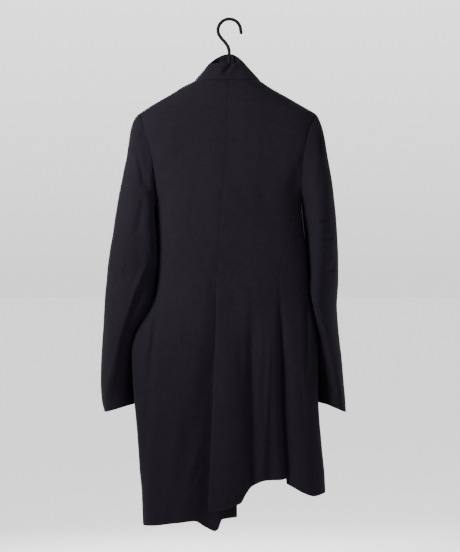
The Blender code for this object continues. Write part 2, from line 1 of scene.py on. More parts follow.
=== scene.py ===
import math
from functools import partial

import bpy
import numpy as np
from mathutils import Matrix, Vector, noise


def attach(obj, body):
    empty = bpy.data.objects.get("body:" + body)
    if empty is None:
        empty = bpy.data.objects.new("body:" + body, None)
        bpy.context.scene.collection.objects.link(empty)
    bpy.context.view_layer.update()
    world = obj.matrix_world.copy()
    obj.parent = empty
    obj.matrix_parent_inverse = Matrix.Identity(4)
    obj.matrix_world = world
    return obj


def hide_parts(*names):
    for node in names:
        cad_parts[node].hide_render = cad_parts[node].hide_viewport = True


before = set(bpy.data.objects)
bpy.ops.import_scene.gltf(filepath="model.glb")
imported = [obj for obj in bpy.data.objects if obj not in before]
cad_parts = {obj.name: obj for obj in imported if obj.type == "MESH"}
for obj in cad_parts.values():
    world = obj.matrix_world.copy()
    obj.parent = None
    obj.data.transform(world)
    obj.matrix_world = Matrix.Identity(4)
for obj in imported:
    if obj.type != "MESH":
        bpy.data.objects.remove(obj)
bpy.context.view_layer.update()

MM = 0.001

# Cloth
CLOTH = 1.6
SEAM_GAP = 0.3
COLLAR_GAP = 0.6
CELL = 3.0
SLEEVE_CELL = 3.0
COLLAR_CELL = 2.0
SEAM_ROLL = 9.0
SEAM_ROLL_DEPTH = 0.4
SLEEVE_SEAM_SHARE = 0.2
HEM_ROLL = 4.0
HEM_ROLL_DEPTH = 0.15
RIM_BULGE = 0.35
SHARP_ANGLE = 38.0
# Reach of the paler free edges, which stand for wear and for a painted highlight along the rim
WEAR_AND_HIGHLIGHT_REACH = 2.5
# Reach of the painted shade that darkens the cloth along its sewn seams
SEAM_SHADE_REACH = 0.8
HEM_PASSES = 6
FAR = 1e6
TINY = 1e-9

# Main levels, as drops
NECK_DROP = 134.0
TIP_DROP = 204.0
UNDERARM_DROP = 401.0
FRONT_NECK_DROP = 168.0
VENT_DROP = 566.0
LAST_LEVEL_ROW = 975.0
LAST_DROP = 1125.0

# Armhole: an oval from the shoulder tip, at a turn of 0 degrees, to the underarm, at 180
ARMHOLE_MID = (TIP_DROP + UNDERARM_DROP) / 2
ARMHOLE_HALF = (UNDERARM_DROP - TIP_DROP) / 2
ARMHOLE_DEPTH_SHARE = 0.82
SIDE_PANEL_TURN = 162
SIDE_PANEL_TOP_ROW = 420.0
SEAM_EASE = 20.0

# Vent at the centre back and overlap at the centre front
LAP_STEP = 3.4
LAP_FADE = 26.0
VENT_SINK = 21.0
VENT_SINK_SPREAD = (24.0, 78.0)
VENT_SINK_END = 1000.0
VENT_RISE = 20.0
UNDERLAP_START = 20.0
UNDERLAP_SPREAD = 60.0
UNDERLAP_REACH = 17.0
FRONT_LAP = 15.0

# Collar
COLLAR_TOP_DROP = 96.0
COLLAR_FRONT_RISE = 26.0
COLLAR_TOP_LEFT = 46.0
COLLAR_TOP_RIGHT = 35.0
COLLAR_TOP_BACK = 26.0
COLLAR_TOP_FRONT = 30.0
COLLAR_ARCH = 2.6
COLLAR_HEIGHT_CELLS = 22
COLLAR_RIPPLE = 0.6
COLLAR_FLARE = 8.0
COLLAR_FLARE_POWER = 4
COLLAR_SEAM_STEP = 0.5

# Hook
HOOK_RADIUS = 25.0
HOOK_ROD = 3.6
HOOK_ARC_START = -4
HOOK_ARC_END = 205
HOOK_ARC_STEP = 5
HOOK_TIP = (27.3, 30.2)
HOOK_NECK = [(-16.5, 40.0), (-9.0, 48.0), (-2.8, 57.0), (-0.3, 66.0)]
HOOK_FOOT_DROP = 114.7
HOOK_SIDES = 20
HOOK_RINGS = 130
HOOK_SMOOTH_PASSES = 3
HOOK_TIP_AREA = 0.02

# Edge of the back as it is seen from behind: shoulder slope, armhole seam, side
SHOULDER_EDGE = (
    # drop, left, right
    (134, -77, 69),
    (148, -105, 90),
    (158, -120, 106.5),
    (169, -139, 126.5),
    (181, -159.5, 146),
    (192, -177.5, 165),
    (204, -195.4, 187),
)
ARMHOLE_EDGE = (
    # drop, left, right
    (204, -195.4, 187),
    (223, -191, 181.5),
    (243, -187, 175.5),
    (273, -176.5, 168),
    (302, -168.5, 162),
    (333, -165.5, 158.5),
    (361, -164.4, 157.2),
    (401, -164, 157.5),
)
SIDE_EDGE = (
    # drop, left, right
    (401, -164, 157.5),
    (440, -160, 161),
    (505, -156, 170),
    (555, -155.5, 175.5),
    (604, -161, 179),
    (637, -173.5, 184),
    (659, -188, 189.5),
    (694, -208, 193.5),
    (729, -214.5, 194.5),
    (780, -213, 195.2),
    (843, -209, 197),
    (915, -202, 201.4),
    (989, -197, 208),
    (1040, -193, 211),
    (1115, -188.5, 213),
)
BODY_DEPTH = (
    # drop, back, front, squareness
    (134, 46, 54, 2.5),
    (160, 49, 56, 2.8),
    (204, 54, 58, 3.0),
    (300, 62, 62, 3.0),
    (401, 64, 64, 2.8),
    (580, 60, 60, 2.6),
    (729, 64, 64, 2.5),
    (900, 69, 67, 2.4),
    (1115, 74, 72, 2.4),
)
CENTRE_SEAM = (
    # drop, x
    (134, 0),
    (199, -3.5),
    (302, -5.5),
    (342, -11.4),
    (406, -17.4),
    (461, -21.3),
    (540, -26.2),
    (586, -27.3),
    (689, -29.3),
    (769, -33.2),
    (887, -37.2),
    (1006, -43.1),
    (1115, -46.5),
)
PRINCESS_SEAM = (
    # drop, x
    (396, 157.4),
    (406, 154.5),
    (421, 142),
    (465, 130),
    (508, 121.5),
    (549, 110),
    (593, 107),
    (659, 112),
    (769, 117),
    (927, 125),
    (1115, 139),
)
FRONT_SIDE_SEAM = (
    # drop, x
    (396, 157.4),
    (406, 154.5),
    (430, 150),
    (520, 152),
    (700, 165),
    (1115, 178),
)
SIDE_SEAMS = {"back": PRINCESS_SEAM, "front": FRONT_SIDE_SEAM}
NECKLINE = (
    # drop, half width of the front neckline
    (134, 66),
    (141, 61.5),
    (148, 54),
    (157, 39),
    (165, 15),
    (168, -15),
)
HEM_BACK_LEFT = (
    # x, drop
    (-190, 1108),
    (-157, 1104),
    (-117, 1098),
    (-78, 1094),
    (-52, 1108),
    (-32, 1116),
    (-25, 1111),
    (-16, 1090),
    (20, 1085),
)
HEM_BACK_RIGHT = (
    # x, drop
    (-50, 1070),
    (-10, 1066),
    (11, 1058),
    (25, 1053),
    (37, 1034),
    (53, 1017),
    (77, 1006),
    (140, 1004),
)
HEM_SIDE = (
    # x, drop
    (130, 1014),
    (170, 1037),
    (184, 1041),
    (212, 1036),
)
HEM_FRONT_LEFT = (
    # x, drop
    (-190, 1107),
    (-150, 1100),
    (20, 1088),
)
HEM_FRONT_RIGHT = (
    # x, drop
    (-20, 994),
    (90, 1000),
    (150, 1010),
    (185, 1034),
)

# Largest folds, which the solids have too. Height is outward, and a trough is negative.
FOLDS = (
    # face, top drop, top x, bottom drop, bottom x, half width, height
    ("back", 720, -52, 1060, -118, 19, -9),
    ("back", 640, -3, 1080, -6, 26, 6),
    ("back", 640, 43, 1010, 47, 15, -10),
    ("back", 690, 88, 990, 72, 11, 6),
    ("back", 600, 112, 1010, 133, 11, -13),
    ("back", 610, 158, 1030, 172, 20, 6),
    ("back", 640, -168, 830, -180, 11, -3),
    ("front", 640, -150, 1080, -128, 19, -7),
    ("front", 600, -85, 1080, -78, 24, 6),
    ("front", 690, -30, 1080, -38, 16, -7),
    ("front", 620, 60, 1010, 64, 20, -7),
    ("front", 640, 112, 1020, 122, 18, 7),
)
FOLD_FADE = 210.0

# Creases that are laid along a bowed line. Bow is how far its middle stands to the
# right of a straight line, and the fades are the lengths over which its ends run out. Each
# starts at a share of its half width and widens along the way.
CREASE_START_WIDTH = 0.75
CREASE_WIDENING = 0.5
BODY_CREASES = (
    # face, x, drop, end x, end drop, bow, half width, height, start fade, end fade
    ("back", -52, 720, -130, 1130, 0, 16, 3.6, 180, 5),
    ("back", -64, 915, -101, 1022, 3, 5, 1.6, 40, 30),
    ("back", -58, 950, -92, 1045, 3, 5, -1.8, 40, 30),
    ("back", -66, 985, -106, 1075, 2, 5, 1.4, 30, 25),
    ("back", 51, 590, 54, 1060, -3, 11, -10.0, 200, 5),
    ("back", 76, 680, 80, 1060, 0, 17, -11.0, 180, 5),
    ("back", 104, 700, 122, 1060, 0, 36, -11.0, 180, 5),
    ("back", 22, 640, 30, 860, 0, 9, -2.2, 100, 80),
    ("back", 58, 640, 62, 800, 2, 6, -2.0, 60, 60),
    ("back", 89, 670, 76, 1060, 0, 5, 2.6, 90, 10),
    ("back", 111, 585, 133, 1050, -5, 8, -7.0, 100, 10),
    ("back", 168, 590, 166, 800, 2, 4.5, -5.5, 40, 80),
    ("back", 179, 600, 180, 830, 0, 6, 2.5, 50, 80),
    ("back", 150, 760, 167, 950, 3, 7, -2.2, 50, 60),
    ("back", -157, 615, -172, 820, -4, 6, -4.0, 40, 60),
    ("back", -170, 632, -182, 745, 4, 5, 2.6, 24, 40),
    ("back", -140, 830, -150, 1090, 3, 16, -2.0, 90, 60),
    ("back", 118, 184, 181, 222, -2, 8, -1.8, 20, 20),
    ("back", 163, 275, 140, 396, 3, 8, -3.6, 40, 30),
    ("back", 150, 300, 126, 396, 3, 8, -2.4, 40, 40),
    ("back", 176, 214, 160, 300, 3, 7, -1.6, 30, 30),
    ("back", -110, 205, -165, 330, 6, 22, 1.6, 50, 60),
    ("back", -12, 137, 7, 137, 0, 4, -2.0, 6, 6),
    ("back", -62, 133, 58, 133, 0, 5, -1.8, 14, 14),
    ("back", -90, 500, -130, 640, 8, 18, -1.4, 60, 60),
    ("back", 70, 330, 110, 520, -6, 26, -1.8, 80, 80),
    ("back", 20, 560, 52, 700, 0, 16, 1.6, 60, 60),
    ("front", 150, 470, 118, 640, 6, 16, -2.4, 60, 60),
    ("front", -146, 500, -112, 700, -6, 14, -2.6, 60, 80),
    ("front", 64, 650, 68, 1000, 4, 9, -4.0, 120, 40),
    ("front", -32, 700, -40, 1080, -4, 8, -4.0, 120, 40),
    ("front", 112, 650, 124, 1010, 4, 7, 3.0, 90, 40),
    ("front", -148, 640, -126, 1085, 4, 9, -4.0, 120, 60),
    ("front", 60, 190, 130, 250, 6, 18, -1.6, 40, 40),
    ("front", -60, 190, -135, 260, -6, 18, -1.8, 40, 40),
    ("front", 20, 250, 128, 330, 8, 26, -2.2, 60, 60),
    ("front", -24, 520, -128, 470, -6, 16, -2.4, 40, 60),
    ("front", -20, 566, -140, 540, -8, 13, -2.0, 40, 60),
    ("front", 18, 540, 130, 500, 6, 15, -2.2, 40, 60),
    ("front", 4, 700, 10, 990, 3, 10, -3.2, 120, 40),
    ("front", -66, 720, -58, 1080, 4, 9, 3.0, 120, 40),
    ("front", -108, 660, -100, 1085, -5, 10, -3.6, 120, 60),
    ("front", 88, 640, 94, 1000, 4, 9, -3.8, 120, 40),
)
COLLAR_CREASES = (
    # face, x, drop, end x, end drop, bow, half width, height, start fade, end fade
    ("back", 10, 88, -17, 125, 1, 4.6, -7.0, 2, 16),
    ("back", -6, 90, -28, 120, 0, 7, 1.8, 8, 14),
    ("back", 26, 92, 8, 134, 0, 13, -3.0, 8, 10),
    ("back", 34, 112, -30, 131, 2, 6, -0.9, 14, 14),
    ("front", 20, 110, -6, 150, 2, 8, -1.2, 14, 16),
)
SLEEVE_CREASES = (
    # side, face, x, drop, end x, end drop, bow, half width, height, start fade, end fade
    ("left", "back", -209, 270, -184, 382, 3, 6, -2.6, 40, 18),
    ("left", "back", -186, 386, -209, 492, 4, 7, -2.2, 18, 50),
    ("left", "back", -171, 290, -171, 570, -3, 13, 9.0, 90, 60),
    ("left", "back", -189, 242, -185, 264, 0, 6, -2.4, 12, 12),
    ("left", "back", -236, 540, -218, 572, 0, 4, -3.0, 12, 12),
    ("left", "back", -240, 528, -224, 548, 0, 5, 1.8, 10, 10),
    ("left", "back", -252, 610, -240, 640, 0, 5, -1.8, 14, 14),
    ("left", "back", -256, 655, -249, 700, 0, 6, -1.8, 18, 20),
    ("left", "back", -176, 520, -271, 846, -8, 8, 5.0, 60, 30),
    ("left", "back", -172, 555, -252, 770, -6, 13, -8.0, 60, 70),
    ("left", "back", -228, 700, -222, 840, 0, 12, -2.5, 40, 40),
    ("right", "back", 198, 252, 201, 308, 0, 4.5, -5.0, 14, 16),
    ("right", "back", 194, 446, 220, 441, 0, 4, -2.6, 10, 6),
    ("right", "back", 199, 484, 226, 480, 0, 4, -2.8, 10, 6),
    ("right", "back", 192, 504, 214, 501, 0, 4, -2.0, 10, 10),
    ("right", "back", 207, 551, 232, 546, 0, 5, -2.8, 10, 6),
    ("right", "back", 200, 463, 222, 460, 0, 4, -1.8, 10, 6),
    ("right", "back", 204, 524, 228, 519, 0, 4, -2.2, 10, 6),
    ("right", "back", 188, 610, 246, 856, 4, 7, 3.6, 50, 40),
    ("right", "back", 188, 640, 226, 850, 2, 12, -8.0, 60, 40),
    ("right", "back", 176, 360, 186, 500, -3, 8, -2.0, 50, 50),
    ("left", "front", -200, 280, -186, 400, -3, 7, -2.6, 40, 30),
    ("left", "front", -232, 520, -206, 560, 0, 6, -3.0, 16, 16),
    ("left", "front", -240, 560, -212, 590, 0, 6, -2.4, 16, 16),
    ("left", "front", -250, 650, -236, 800, 4, 9, -2.4, 50, 60),
    ("right", "front", 196, 280, 184, 400, 3, 7, -2.6, 40, 30),
    ("right", "front", 186, 500, 214, 530, 0, 6, -3.0, 16, 16),
    ("right", "front", 192, 545, 220, 575, 0, 6, -2.4, 16, 16),
    ("right", "front", 216, 650, 226, 800, 4, 9, -2.4, 50, 60),
)

# Sleeve sections from the armhole to the cuff. Each is an oval between the outer and the
# inner line, with a half depth, a turn in degrees, and its middle's shift to the front.
SLEEVE_LEFT = (
    # outer x, outer drop, inner x, inner drop, half depth, turn, forward
    (-195.4, 204, -164.0, 401, 51, 0, 0),
    (-208.0, 210, -165.7, 410, 53, 0, 0),
    (-215.0, 227, -165.2, 421, 55, 3, 0),
    (-218.4, 256, -163.0, 436, 57, 8, 0),
    (-224.0, 298, -160.0, 456, 58, 14, 1),
    (-233.5, 344, -156.5, 483, 58, 22, 2),
    (-244.3, 397, -154.0, 511, 57, 28, 4),
    (-255.0, 454, -153.0, 542, 56, 32, 6),
    (-265.0, 513, -155.0, 573, 56, 32, 8),
    (-271.0, 571, -161.0, 606, 56, 26, 10),
    (-276.8, 630, -180.0, 643, 57, 18, 13),
    (-280.3, 685, -206.5, 689, 58, 8, 17),
    (-282.9, 740, -213.5, 738, 57, -1, 21),
    (-284.5, 793, -211.5, 784, 56, -10, 25),
    (-282.4, 834, -208.5, 819, 54, -18, 28),
    (-276.0, 861, -205.5, 842, 53, -23, 30),
)
SLEEVE_RIGHT = (
    # outer x, outer drop, inner x, inner drop, half depth, turn, forward
    (187.0, 204, 157.5, 401, 51, 0, 0),
    (198.2, 211, 159.5, 410, 53, 0, 0),
    (203.5, 227, 160.8, 421, 55, 3, 0),
    (209.4, 256, 161.5, 436, 57, 8, 0),
    (216.2, 298, 164.2, 456, 58, 14, 1),
    (224.4, 344, 167.8, 483, 59, 20, 2),
    (231.8, 397, 171.2, 511, 59, 24, 4),
    (237.5, 454, 174.4, 542, 59, 26, 6),
    (241.0, 513, 177.2, 573, 59, 27, 8),
    (242.6, 571, 180.0, 606, 59, 25, 10),
    (240.4, 630, 186.3, 643, 60, 18, 13),
    (242.1, 685, 193.5, 689, 60, 9, 17),
    (247.6, 740, 195.3, 738, 59, 1, 21),
    (252.5, 793, 196.3, 784, 57, -8, 25),
    (256.9, 835, 196.6, 819, 55, -15, 28),
    (258.5, 861, 196.0, 838, 53, -22, 30),
)
SLEEVE_PARTS = (
    # part, first turn, last turn: 0 is the outer line, 90 the back and 180 the inner line
    ("upper", 270, 450),
    ("under", 90, 270),
)
SLEEVE_BLEND_ROWS = 3.0
SLEEVE_JOIN_ROWS = 12.0
SLEEVE_FACING_GAIN = 2.2
SLEEVE_LENS = 1.85
SLEEVE_ROWS = 230

# Where an under sleeve rests against the body: depths, drops, and how far it may reach
REST_DEPTHS = (-2, 58)
REST_DROPS = (374, 862)
REST_FADE = 22.0
REST_GAP = 1.8
REST_LIMIT = 45.0
REST_SEAM_SHARE = 0.16
REST_DEPTH_LIMIT = 0.95

# Flat cut of each piece of cloth, in metres and square metres
CUTS = {
    # name: width, length, area
    "back_left": (0.262, 0.985, 0.205),
    "back_right_centre": (0.215, 0.940, 0.154),
    "back_right_side": (0.165, 0.650, 0.095),
    "front_left": (0.262, 0.975, 0.216),
    "front_right": (0.230, 0.900, 0.161),
    "collar_stand": (0.330, 0.110, 0.0224),
    "sleeve_left_upper": (0.200, 0.665, 0.102),
    "sleeve_left_under": (0.165, 0.560, 0.088),
    "sleeve_right_upper": (0.200, 0.665, 0.091),
    "sleeve_right_under": (0.165, 0.560, 0.078),
}

# Unevenness of hung cloth: amplitude and wavelength in millimetres
RIPPLES = (
    # amplitude, across, down
    (1.6, 65.0, 130.0),
    (0.55, 24.0, 40.0),
    (0.12, 9.0, 12.0),
)
RIPPLE_OFFSET = 17.3

# Finish, with lengths in metres. A band is the distance between a wave texture's stripes at
# a scale of 1.
WOOL = (0.0027, 0.0020, 0.0034)
WOOL_LIGHT = (0.0052, 0.0040, 0.0063)
# Tones painted on the cloth: free edges paler, for wear and a painted highlight, and seams darker,
# as painted shade
WOOL_WEAR_AND_PAINTED_LIGHT = (
    # mark painted on the cloth, share, colour
    ("edge_wear_and_highlight", 0.15, (0.0110, 0.0100, 0.0130)),
    ("seam_shade", 0.12, (0.0010, 0.0008, 0.0012)),
)
HANGER_BLACK = (0.0030, 0.0030, 0.0033)
HANGER_WORN = (0.0060, 0.0060, 0.0065)
TWILL_PERIOD = 0.0013
THREAD_PERIOD = 0.0008
DIAGONAL_BAND = 0.444
STRAIGHT_BAND = 0.314
TWILL = {
    "bands_direction": "DIAGONAL",
    "Scale": DIAGONAL_BAND / TWILL_PERIOD,
    "Distortion": 0.6,
}
THREADS = {
    "bands_direction": "Y",
    "Scale": STRAIGHT_BAND / THREAD_PERIOD,
    "Distortion": 0.4,
}
HAIR = {"Scale": 1500.0, "Detail": 3.0}
NAP = {"Scale": 160.0, "Detail": 3.0}
BROAD = {"Scale": 9.0, "Detail": 4.0}
MARKS = {"Scale": 220.0, "Detail": 5.0}
WOOL_SURFACE = {
    "Specular IOR Level": 0.035,
    "Sheen Weight": 0.018,
    "Sheen Roughness": 0.42,
    "Sheen Tint": (0.62, 0.64, 0.78, 1.0),
}
WOOL_RELIEF = {"Strength": 0.5, "Distance": 0.00025}
PLASTIC_SURFACE = {"Specular IOR Level": 0.015}
PLASTIC_RELIEF = {"Strength": 0.15, "Distance": 0.0001}

# Least roughness, and what its marks add at most
WOOL_ROUGHNESS = (0.78, 0.16)
PLASTIC_ROUGHNESS = (0.58, 0.2)

# Shares of the twill, the threads and the hair in the weave's height
TWILL_SHARE = 0.55
THREAD_SHARE = 0.25
HAIR_SHARE = 0.5

# Wool's tone from dark to light: a base, and shares of the nap, the broad unevenness and
# the weave
TONE_BASE = -0.6
NAP_SHARE = 1.5
BROAD_SHARE = 0.5
WEAVE_SHARE = 0.2

# Camera, floor, room and lights, in metres, watts and degrees, with the sensor in
# millimetres
CAMERA_PLACE = (0.00154, -4.0, -0.5619)
PICTURE_HEIGHT = 1.2144
SENSOR_HEIGHT = 24.0
FLOOR_DROP = 1.32
FLOOR_RADIUS = 60.0
FLOOR_SIDES = 96
FLOOR_SURFACE = {
    "Base Color": (0.80, 0.80, 0.80, 1.0),
    "Emission Color": (1.0, 1.0, 1.0, 1.0),
    "Emission Strength": 0.48,
    "Roughness": 0.9,
    "Specular IOR Level": 0.0,
}
HORIZON_HEIGHT = 0.16
ROOM_HORIZON = (1.35, 1.35, 1.36)
ROOM_DIM = (0.35, 0.35, 0.36)
ROOM_BRIGHT = (2.1, 2.1, 2.12)
LIGHTS = (
    # name, place, target, size, power, spread
    ("key", (-1.05, -0.8, 0.05), (-0.05, 0.0, -0.4), 0.5, 25.0, 96.0),
    ("fill", (2.0, -1.9, 0.2), (0.1, 0.0, -0.3), 1.4, 26.0, 120.0),
    ("front", (-0.55, 1.6, 0.2), (0.0, 0.0, -0.45), 0.6, 48.0, 120.0),
)


def smooth(value):
    """Ease from 0 to 1."""
    value = np.clip(value, 0.0, 1.0)
    return value * value * (3 - 2 * value)


def through(table, column, at):
    """Read a column of a table at values of its first column, without overshoot."""
    xs = np.array([row[0] for row in table], float)
    ys = np.array([row[column] for row in table], float)
    slopes = np.diff(ys) / np.diff(xs)
    before, after = slopes[:-1], slopes[1:]
    same_way = before * after > 0
    total = np.where(same_way, before + after, 1.0)
    inner = np.where(same_way, 2 * before * after / total, 0.0)
    tangents = np.concatenate((slopes[:1], inner, slopes[-1:]))
    at = np.clip(at, xs[0], xs[-1])
    i = np.clip(np.searchsorted(xs, at, side="right") - 1, 0, len(slopes) - 1)
    width = xs[i + 1] - xs[i]
    t = (at - xs[i]) / width
    return (
        (2 * t**3 - 3 * t**2 + 1) * ys[i]
        + (t**3 - 2 * t**2 + t) * width * tangents[i]
        + (3 * t**2 - 2 * t**3) * ys[i + 1]
        + (t**3 - t**2) * width * tangents[i + 1]
    )


def armhole_drop(degrees):
    """Drop of a place on the armhole, by its turn from the shoulder tip."""
    return ARMHOLE_MID - ARMHOLE_HALF * np.cos(np.radians(degrees))


def edge(drop, side):
    """The back's edge: column 1 is the left side and column 2 the right."""
    column = 1 if side < 0 else 2
    shoulder = through(SHOULDER_EDGE, column, drop)
    armhole = through(ARMHOLE_EDGE, column, drop)
    flank = through(SIDE_EDGE, column, drop)
    return np.where(drop < TIP_DROP, shoulder, np.where(drop < UNDERARM_DROP, armhole, flank))


def armhole_share(drop):
    """How far the armhole reaches from the middle plane, as a share of the body's depth."""
    height = (ARMHOLE_MID - drop) / ARMHOLE_HALF
    return ARMHOLE_DEPTH_SHARE * np.sqrt(np.maximum(0.0, 1 - height * height))


def half_width(drop, side):
    """Half width of the body's section, wider than the seam where the armhole cuts it."""
    width = np.abs(edge(drop, side))
    power = through(BODY_DEPTH, 3, drop)
    return width / (1 - armhole_share(drop) ** power) ** (1 / power)


class Body:
    """Level sections of the body, each measured along the cloth from the middle of the back."""

    # Points in a quarter turn, the drop from level to level, and how far a place stays short
    # of the number of levels
    QUARTER = 400
    STEP = 1.0
    END_MARGIN = 1.001

    def __init__(self):
        self.drops = np.arange(NECK_DROP, LAST_DROP + self.STEP, self.STEP)
        drops = self.drops[:, None]
        turn = np.linspace(0, 2 * math.pi, 4 * self.QUARTER + 1)
        across = np.sin(turn)
        along = np.cos(turn)
        power = 2 / through(BODY_DEPTH, 3, drops)
        back = through(BODY_DEPTH, 1, drops)
        front = through(BODY_DEPTH, 2, drops)
        width = np.where(across > 0, half_width(drops, 1), half_width(drops, -1))
        self.x = width * np.sign(across) * np.abs(across) ** power
        self.y = -np.where(along > 0, back, front) * np.sign(along) * np.abs(along) ** power
        steps = np.hypot(np.diff(self.x, axis=1), np.diff(self.y, axis=1))
        self.s = np.concatenate((np.zeros_like(drops), np.cumsum(steps, axis=1)), axis=1)
        self.girth = self.s[:, -1]
        run_x = np.roll(self.x[:, :-1], -1, axis=1) - np.roll(self.x[:, :-1], 1, axis=1)
        run_y = np.roll(self.y[:, :-1], -1, axis=1) - np.roll(self.y[:, :-1], 1, axis=1)
        run = np.hypot(run_x, run_y)
        self.out_x = np.concatenate((run_y / run, run_y[:, :1] / run[:, :1]), axis=1)
        self.out_y = -np.concatenate((run_x / run, run_x[:, :1] / run[:, :1]), axis=1)

    def level(self, drop):
        """The table's rows above and below a drop, and the share of the second."""
        place = np.clip((drop - NECK_DROP) / self.STEP, 0, len(self.drops) - self.END_MARGIN)
        low = np.floor(place).astype(int)
        return low, place - low

    def read(self, s, drop):
        """x, y and the level direction outward, at places along the cloth."""
        low, share = self.level(drop)
        found = np.zeros(s.shape + (4,))
        for row in np.unique(low):
            here = low == row
            for level, weight in ((row, 1 - share[here]), (row + 1, share[here])):
                at = s[here] % self.girth[level]
                for k, table in enumerate((self.x, self.y, self.out_x, self.out_y)):
                    found[here, k] += weight * np.interp(at, self.s[level], table[level])
        return found

    def find(self, x, drop, face):
        """Distance along the cloth of a place x on the back or the front."""
        low, share = self.level(drop)
        quarter = self.QUARTER
        places = []
        for level in (low, low + 1):
            if face == "front":
                part = slice(quarter, 3 * quarter + 1)
                places.append(np.interp(-x, -self.x[level, part], self.s[level, part]))
            elif x >= 0:
                part = slice(0, quarter + 1)
                places.append(np.interp(x, self.x[level, part], self.s[level, part]))
            else:
                part = slice(3 * quarter, 4 * quarter + 1)
                found = np.interp(x, self.x[level, part], self.s[level, part])
                places.append(found - self.girth[level])
        return places[0] * (1 - share) + places[1] * share

    def find_front(self, x, drop, side):
        """The same on the front, by the left or the right way round from the back."""
        found = self.find(x, drop, "front")
        return found if side > 0 else found - self.around(drop)

    def around(self, drop):
        """The body's girth at a drop."""
        low, share = self.level(drop)
        return self.girth[low] * (1 - share) + self.girth[low + 1] * share

    def side(self, drop, side):
        """Distance along the cloth of the section's furthest point on one side."""
        column = self.QUARTER if side > 0 else 3 * self.QUARTER
        low, share = self.level(drop)
        found = self.s[low, column] * (1 - share) + self.s[low + 1, column] * share
        return found if side > 0 else found - self.around(drop)


BODY = Body()


def fold_height(x, drop, face):
    """Outward height of the largest folds."""
    height = np.zeros_like(x)
    for fold_face, top, top_x, bottom, bottom_x, width, rise in FOLDS:
        middle = top_x + (bottom_x - top_x) * (drop - top) / (bottom - top)
        strength = np.where(face == fold_face, smooth((drop - top) / FOLD_FADE), 0.0)
        height += rise * strength * np.exp(-(((x - middle) / width) ** 2))
    return height


def crease_height(x, drop, face, rows):
    """Outward height of creases, each along a line that bows to one side."""
    height = np.zeros_like(x)
    for crease_face, x0, drop0, x1, drop1, bow, width, rise, start_fade, end_fade in rows:
        length = math.hypot(x1 - x0, drop1 - drop0)
        along_x, along_drop = (x1 - x0) / length, (drop1 - drop0) / length
        run = (x - x0) * along_x + (drop - drop0) * along_drop
        off = (x - x0) * along_drop - (drop - drop0) * along_x
        share = np.clip(run / length, 0, 1)
        off = off - bow * 4 * share * (1 - share)
        ends = smooth(run / start_fade) * smooth((length - run) / end_fade)
        spread = width * (CREASE_START_WIDTH + CREASE_WIDENING * share)
        shape = rise * ends * np.exp(-((off / spread) ** 2))
        height += np.where(face == crease_face, shape, 0.0)
    return height


def ripple(points):
    """Slight unevenness of hung cloth, fixed in space."""
    total = np.zeros(points.shape[:-1])
    flat = points.reshape(-1, 3)
    for number, (amplitude, across, down) in enumerate(RIPPLES):
        scaled = flat / (across, across, down) + RIPPLE_OFFSET * number
        values = [noise.noise(Vector(p)) for p in scaled]
        total += amplitude * np.array(values).reshape(total.shape)
    return total


def left_back_lift(s, drop, x):
    """The left back sinks behind the right one at the vent, further and wider to the hem."""
    step = LAP_STEP * smooth((drop - VENT_DROP) / VENT_RISE)
    grown = smooth((drop - VENT_DROP) / (VENT_SINK_END - VENT_DROP))
    narrow, wide = VENT_SINK_SPREAD
    spread = narrow + (wide - narrow) * grown
    near = smooth((x - through(CENTRE_SEAM, 1, drop) + spread) / spread)
    return -(step + VENT_SINK * grown) * near


def left_front_lift(s, drop, x):
    """The left front sinks behind the right one at the centre front."""
    lap = np.array([BODY.find_front(-FRONT_LAP, d, -1) for d in BODY.drops])
    past = s - np.interp(drop, BODY.drops, lap)
    return -LAP_STEP * smooth(1 - past / LAP_FADE)


def no_lift(s, drop, x):
    """For a piece that lies under no other."""
    return np.zeros_like(s)


def outer_edge(drop, face, side):
    """Where a panel ends at the shoulder, armhole or side, along the cloth."""
    if not TIP_DROP < drop < UNDERARM_DROP:
        return BODY.side(drop, side)
    x = float(edge(drop, side))
    return BODY.find(x, drop, face) if face == "back" else BODY.find_front(x, drop, side)


def neck_edge(drop, side):
    """Where a front panel ends at the neckline, and below it at its lapped edge."""
    return BODY.find_front(float(side * through(NECKLINE, 1, drop)), drop, side)


def centre_edge(drop):
    """The seam at the centre back."""
    return BODY.find(float(through(CENTRE_SEAM, 1, drop)), drop, "back")


def underlap_edge(drop):
    """The left back ends on the centre seam, and below the vent's top on its underlap."""
    seam = float(through(CENTRE_SEAM, 1, drop))
    reach = float(smooth((drop - VENT_DROP - UNDERLAP_START) / UNDERLAP_SPREAD))
    return BODY.find(seam + (UNDERLAP_REACH - seam) * reach, drop, "back")


def side_panel_edge(drop, face):
    """An edge of the right side panel, which starts exactly on the armhole."""
    table = SIDE_SEAMS[face]
    start = armhole_drop(SIDE_PANEL_TURN)
    slack = edge(start, 1) - through(table, 1, start)
    ease = 1 - smooth((drop - start) / SEAM_EASE)
    return BODY.find(float(through(table, 1, drop) + slack * ease), drop, face)


def right_outer_edge(drop, face):
    """The outer edge of a right panel, which follows the side panel below the armhole."""
    if drop < armhole_drop(SIDE_PANEL_TURN):
        return outer_edge(drop, face, 1)
    return side_panel_edge(drop, face)


def grid_normals(grid):
    """Normals of a grid of points, by the steps to each point's neighbours."""
    normals = np.cross(np.gradient(grid, axis=0), np.gradient(grid, axis=1))
    return normals / np.maximum(np.linalg.norm(normals, axis=2, keepdims=True), TINY)


def outward_normals(grid, outward):
    """Normals of a grid, turned to the side that outward directions point to."""
    normals = grid_normals(grid)
    return normals * np.sign((normals * outward).sum())


def distance_along(grid, axis):
    """Length from the first row or column of a grid to each point."""
    steps = np.linalg.norm(np.diff(grid, axis=axis), axis=2)
    start = np.zeros_like(np.take(steps, [0], axis=axis))
    return np.concatenate((start, np.cumsum(steps, axis=axis)), axis=axis)


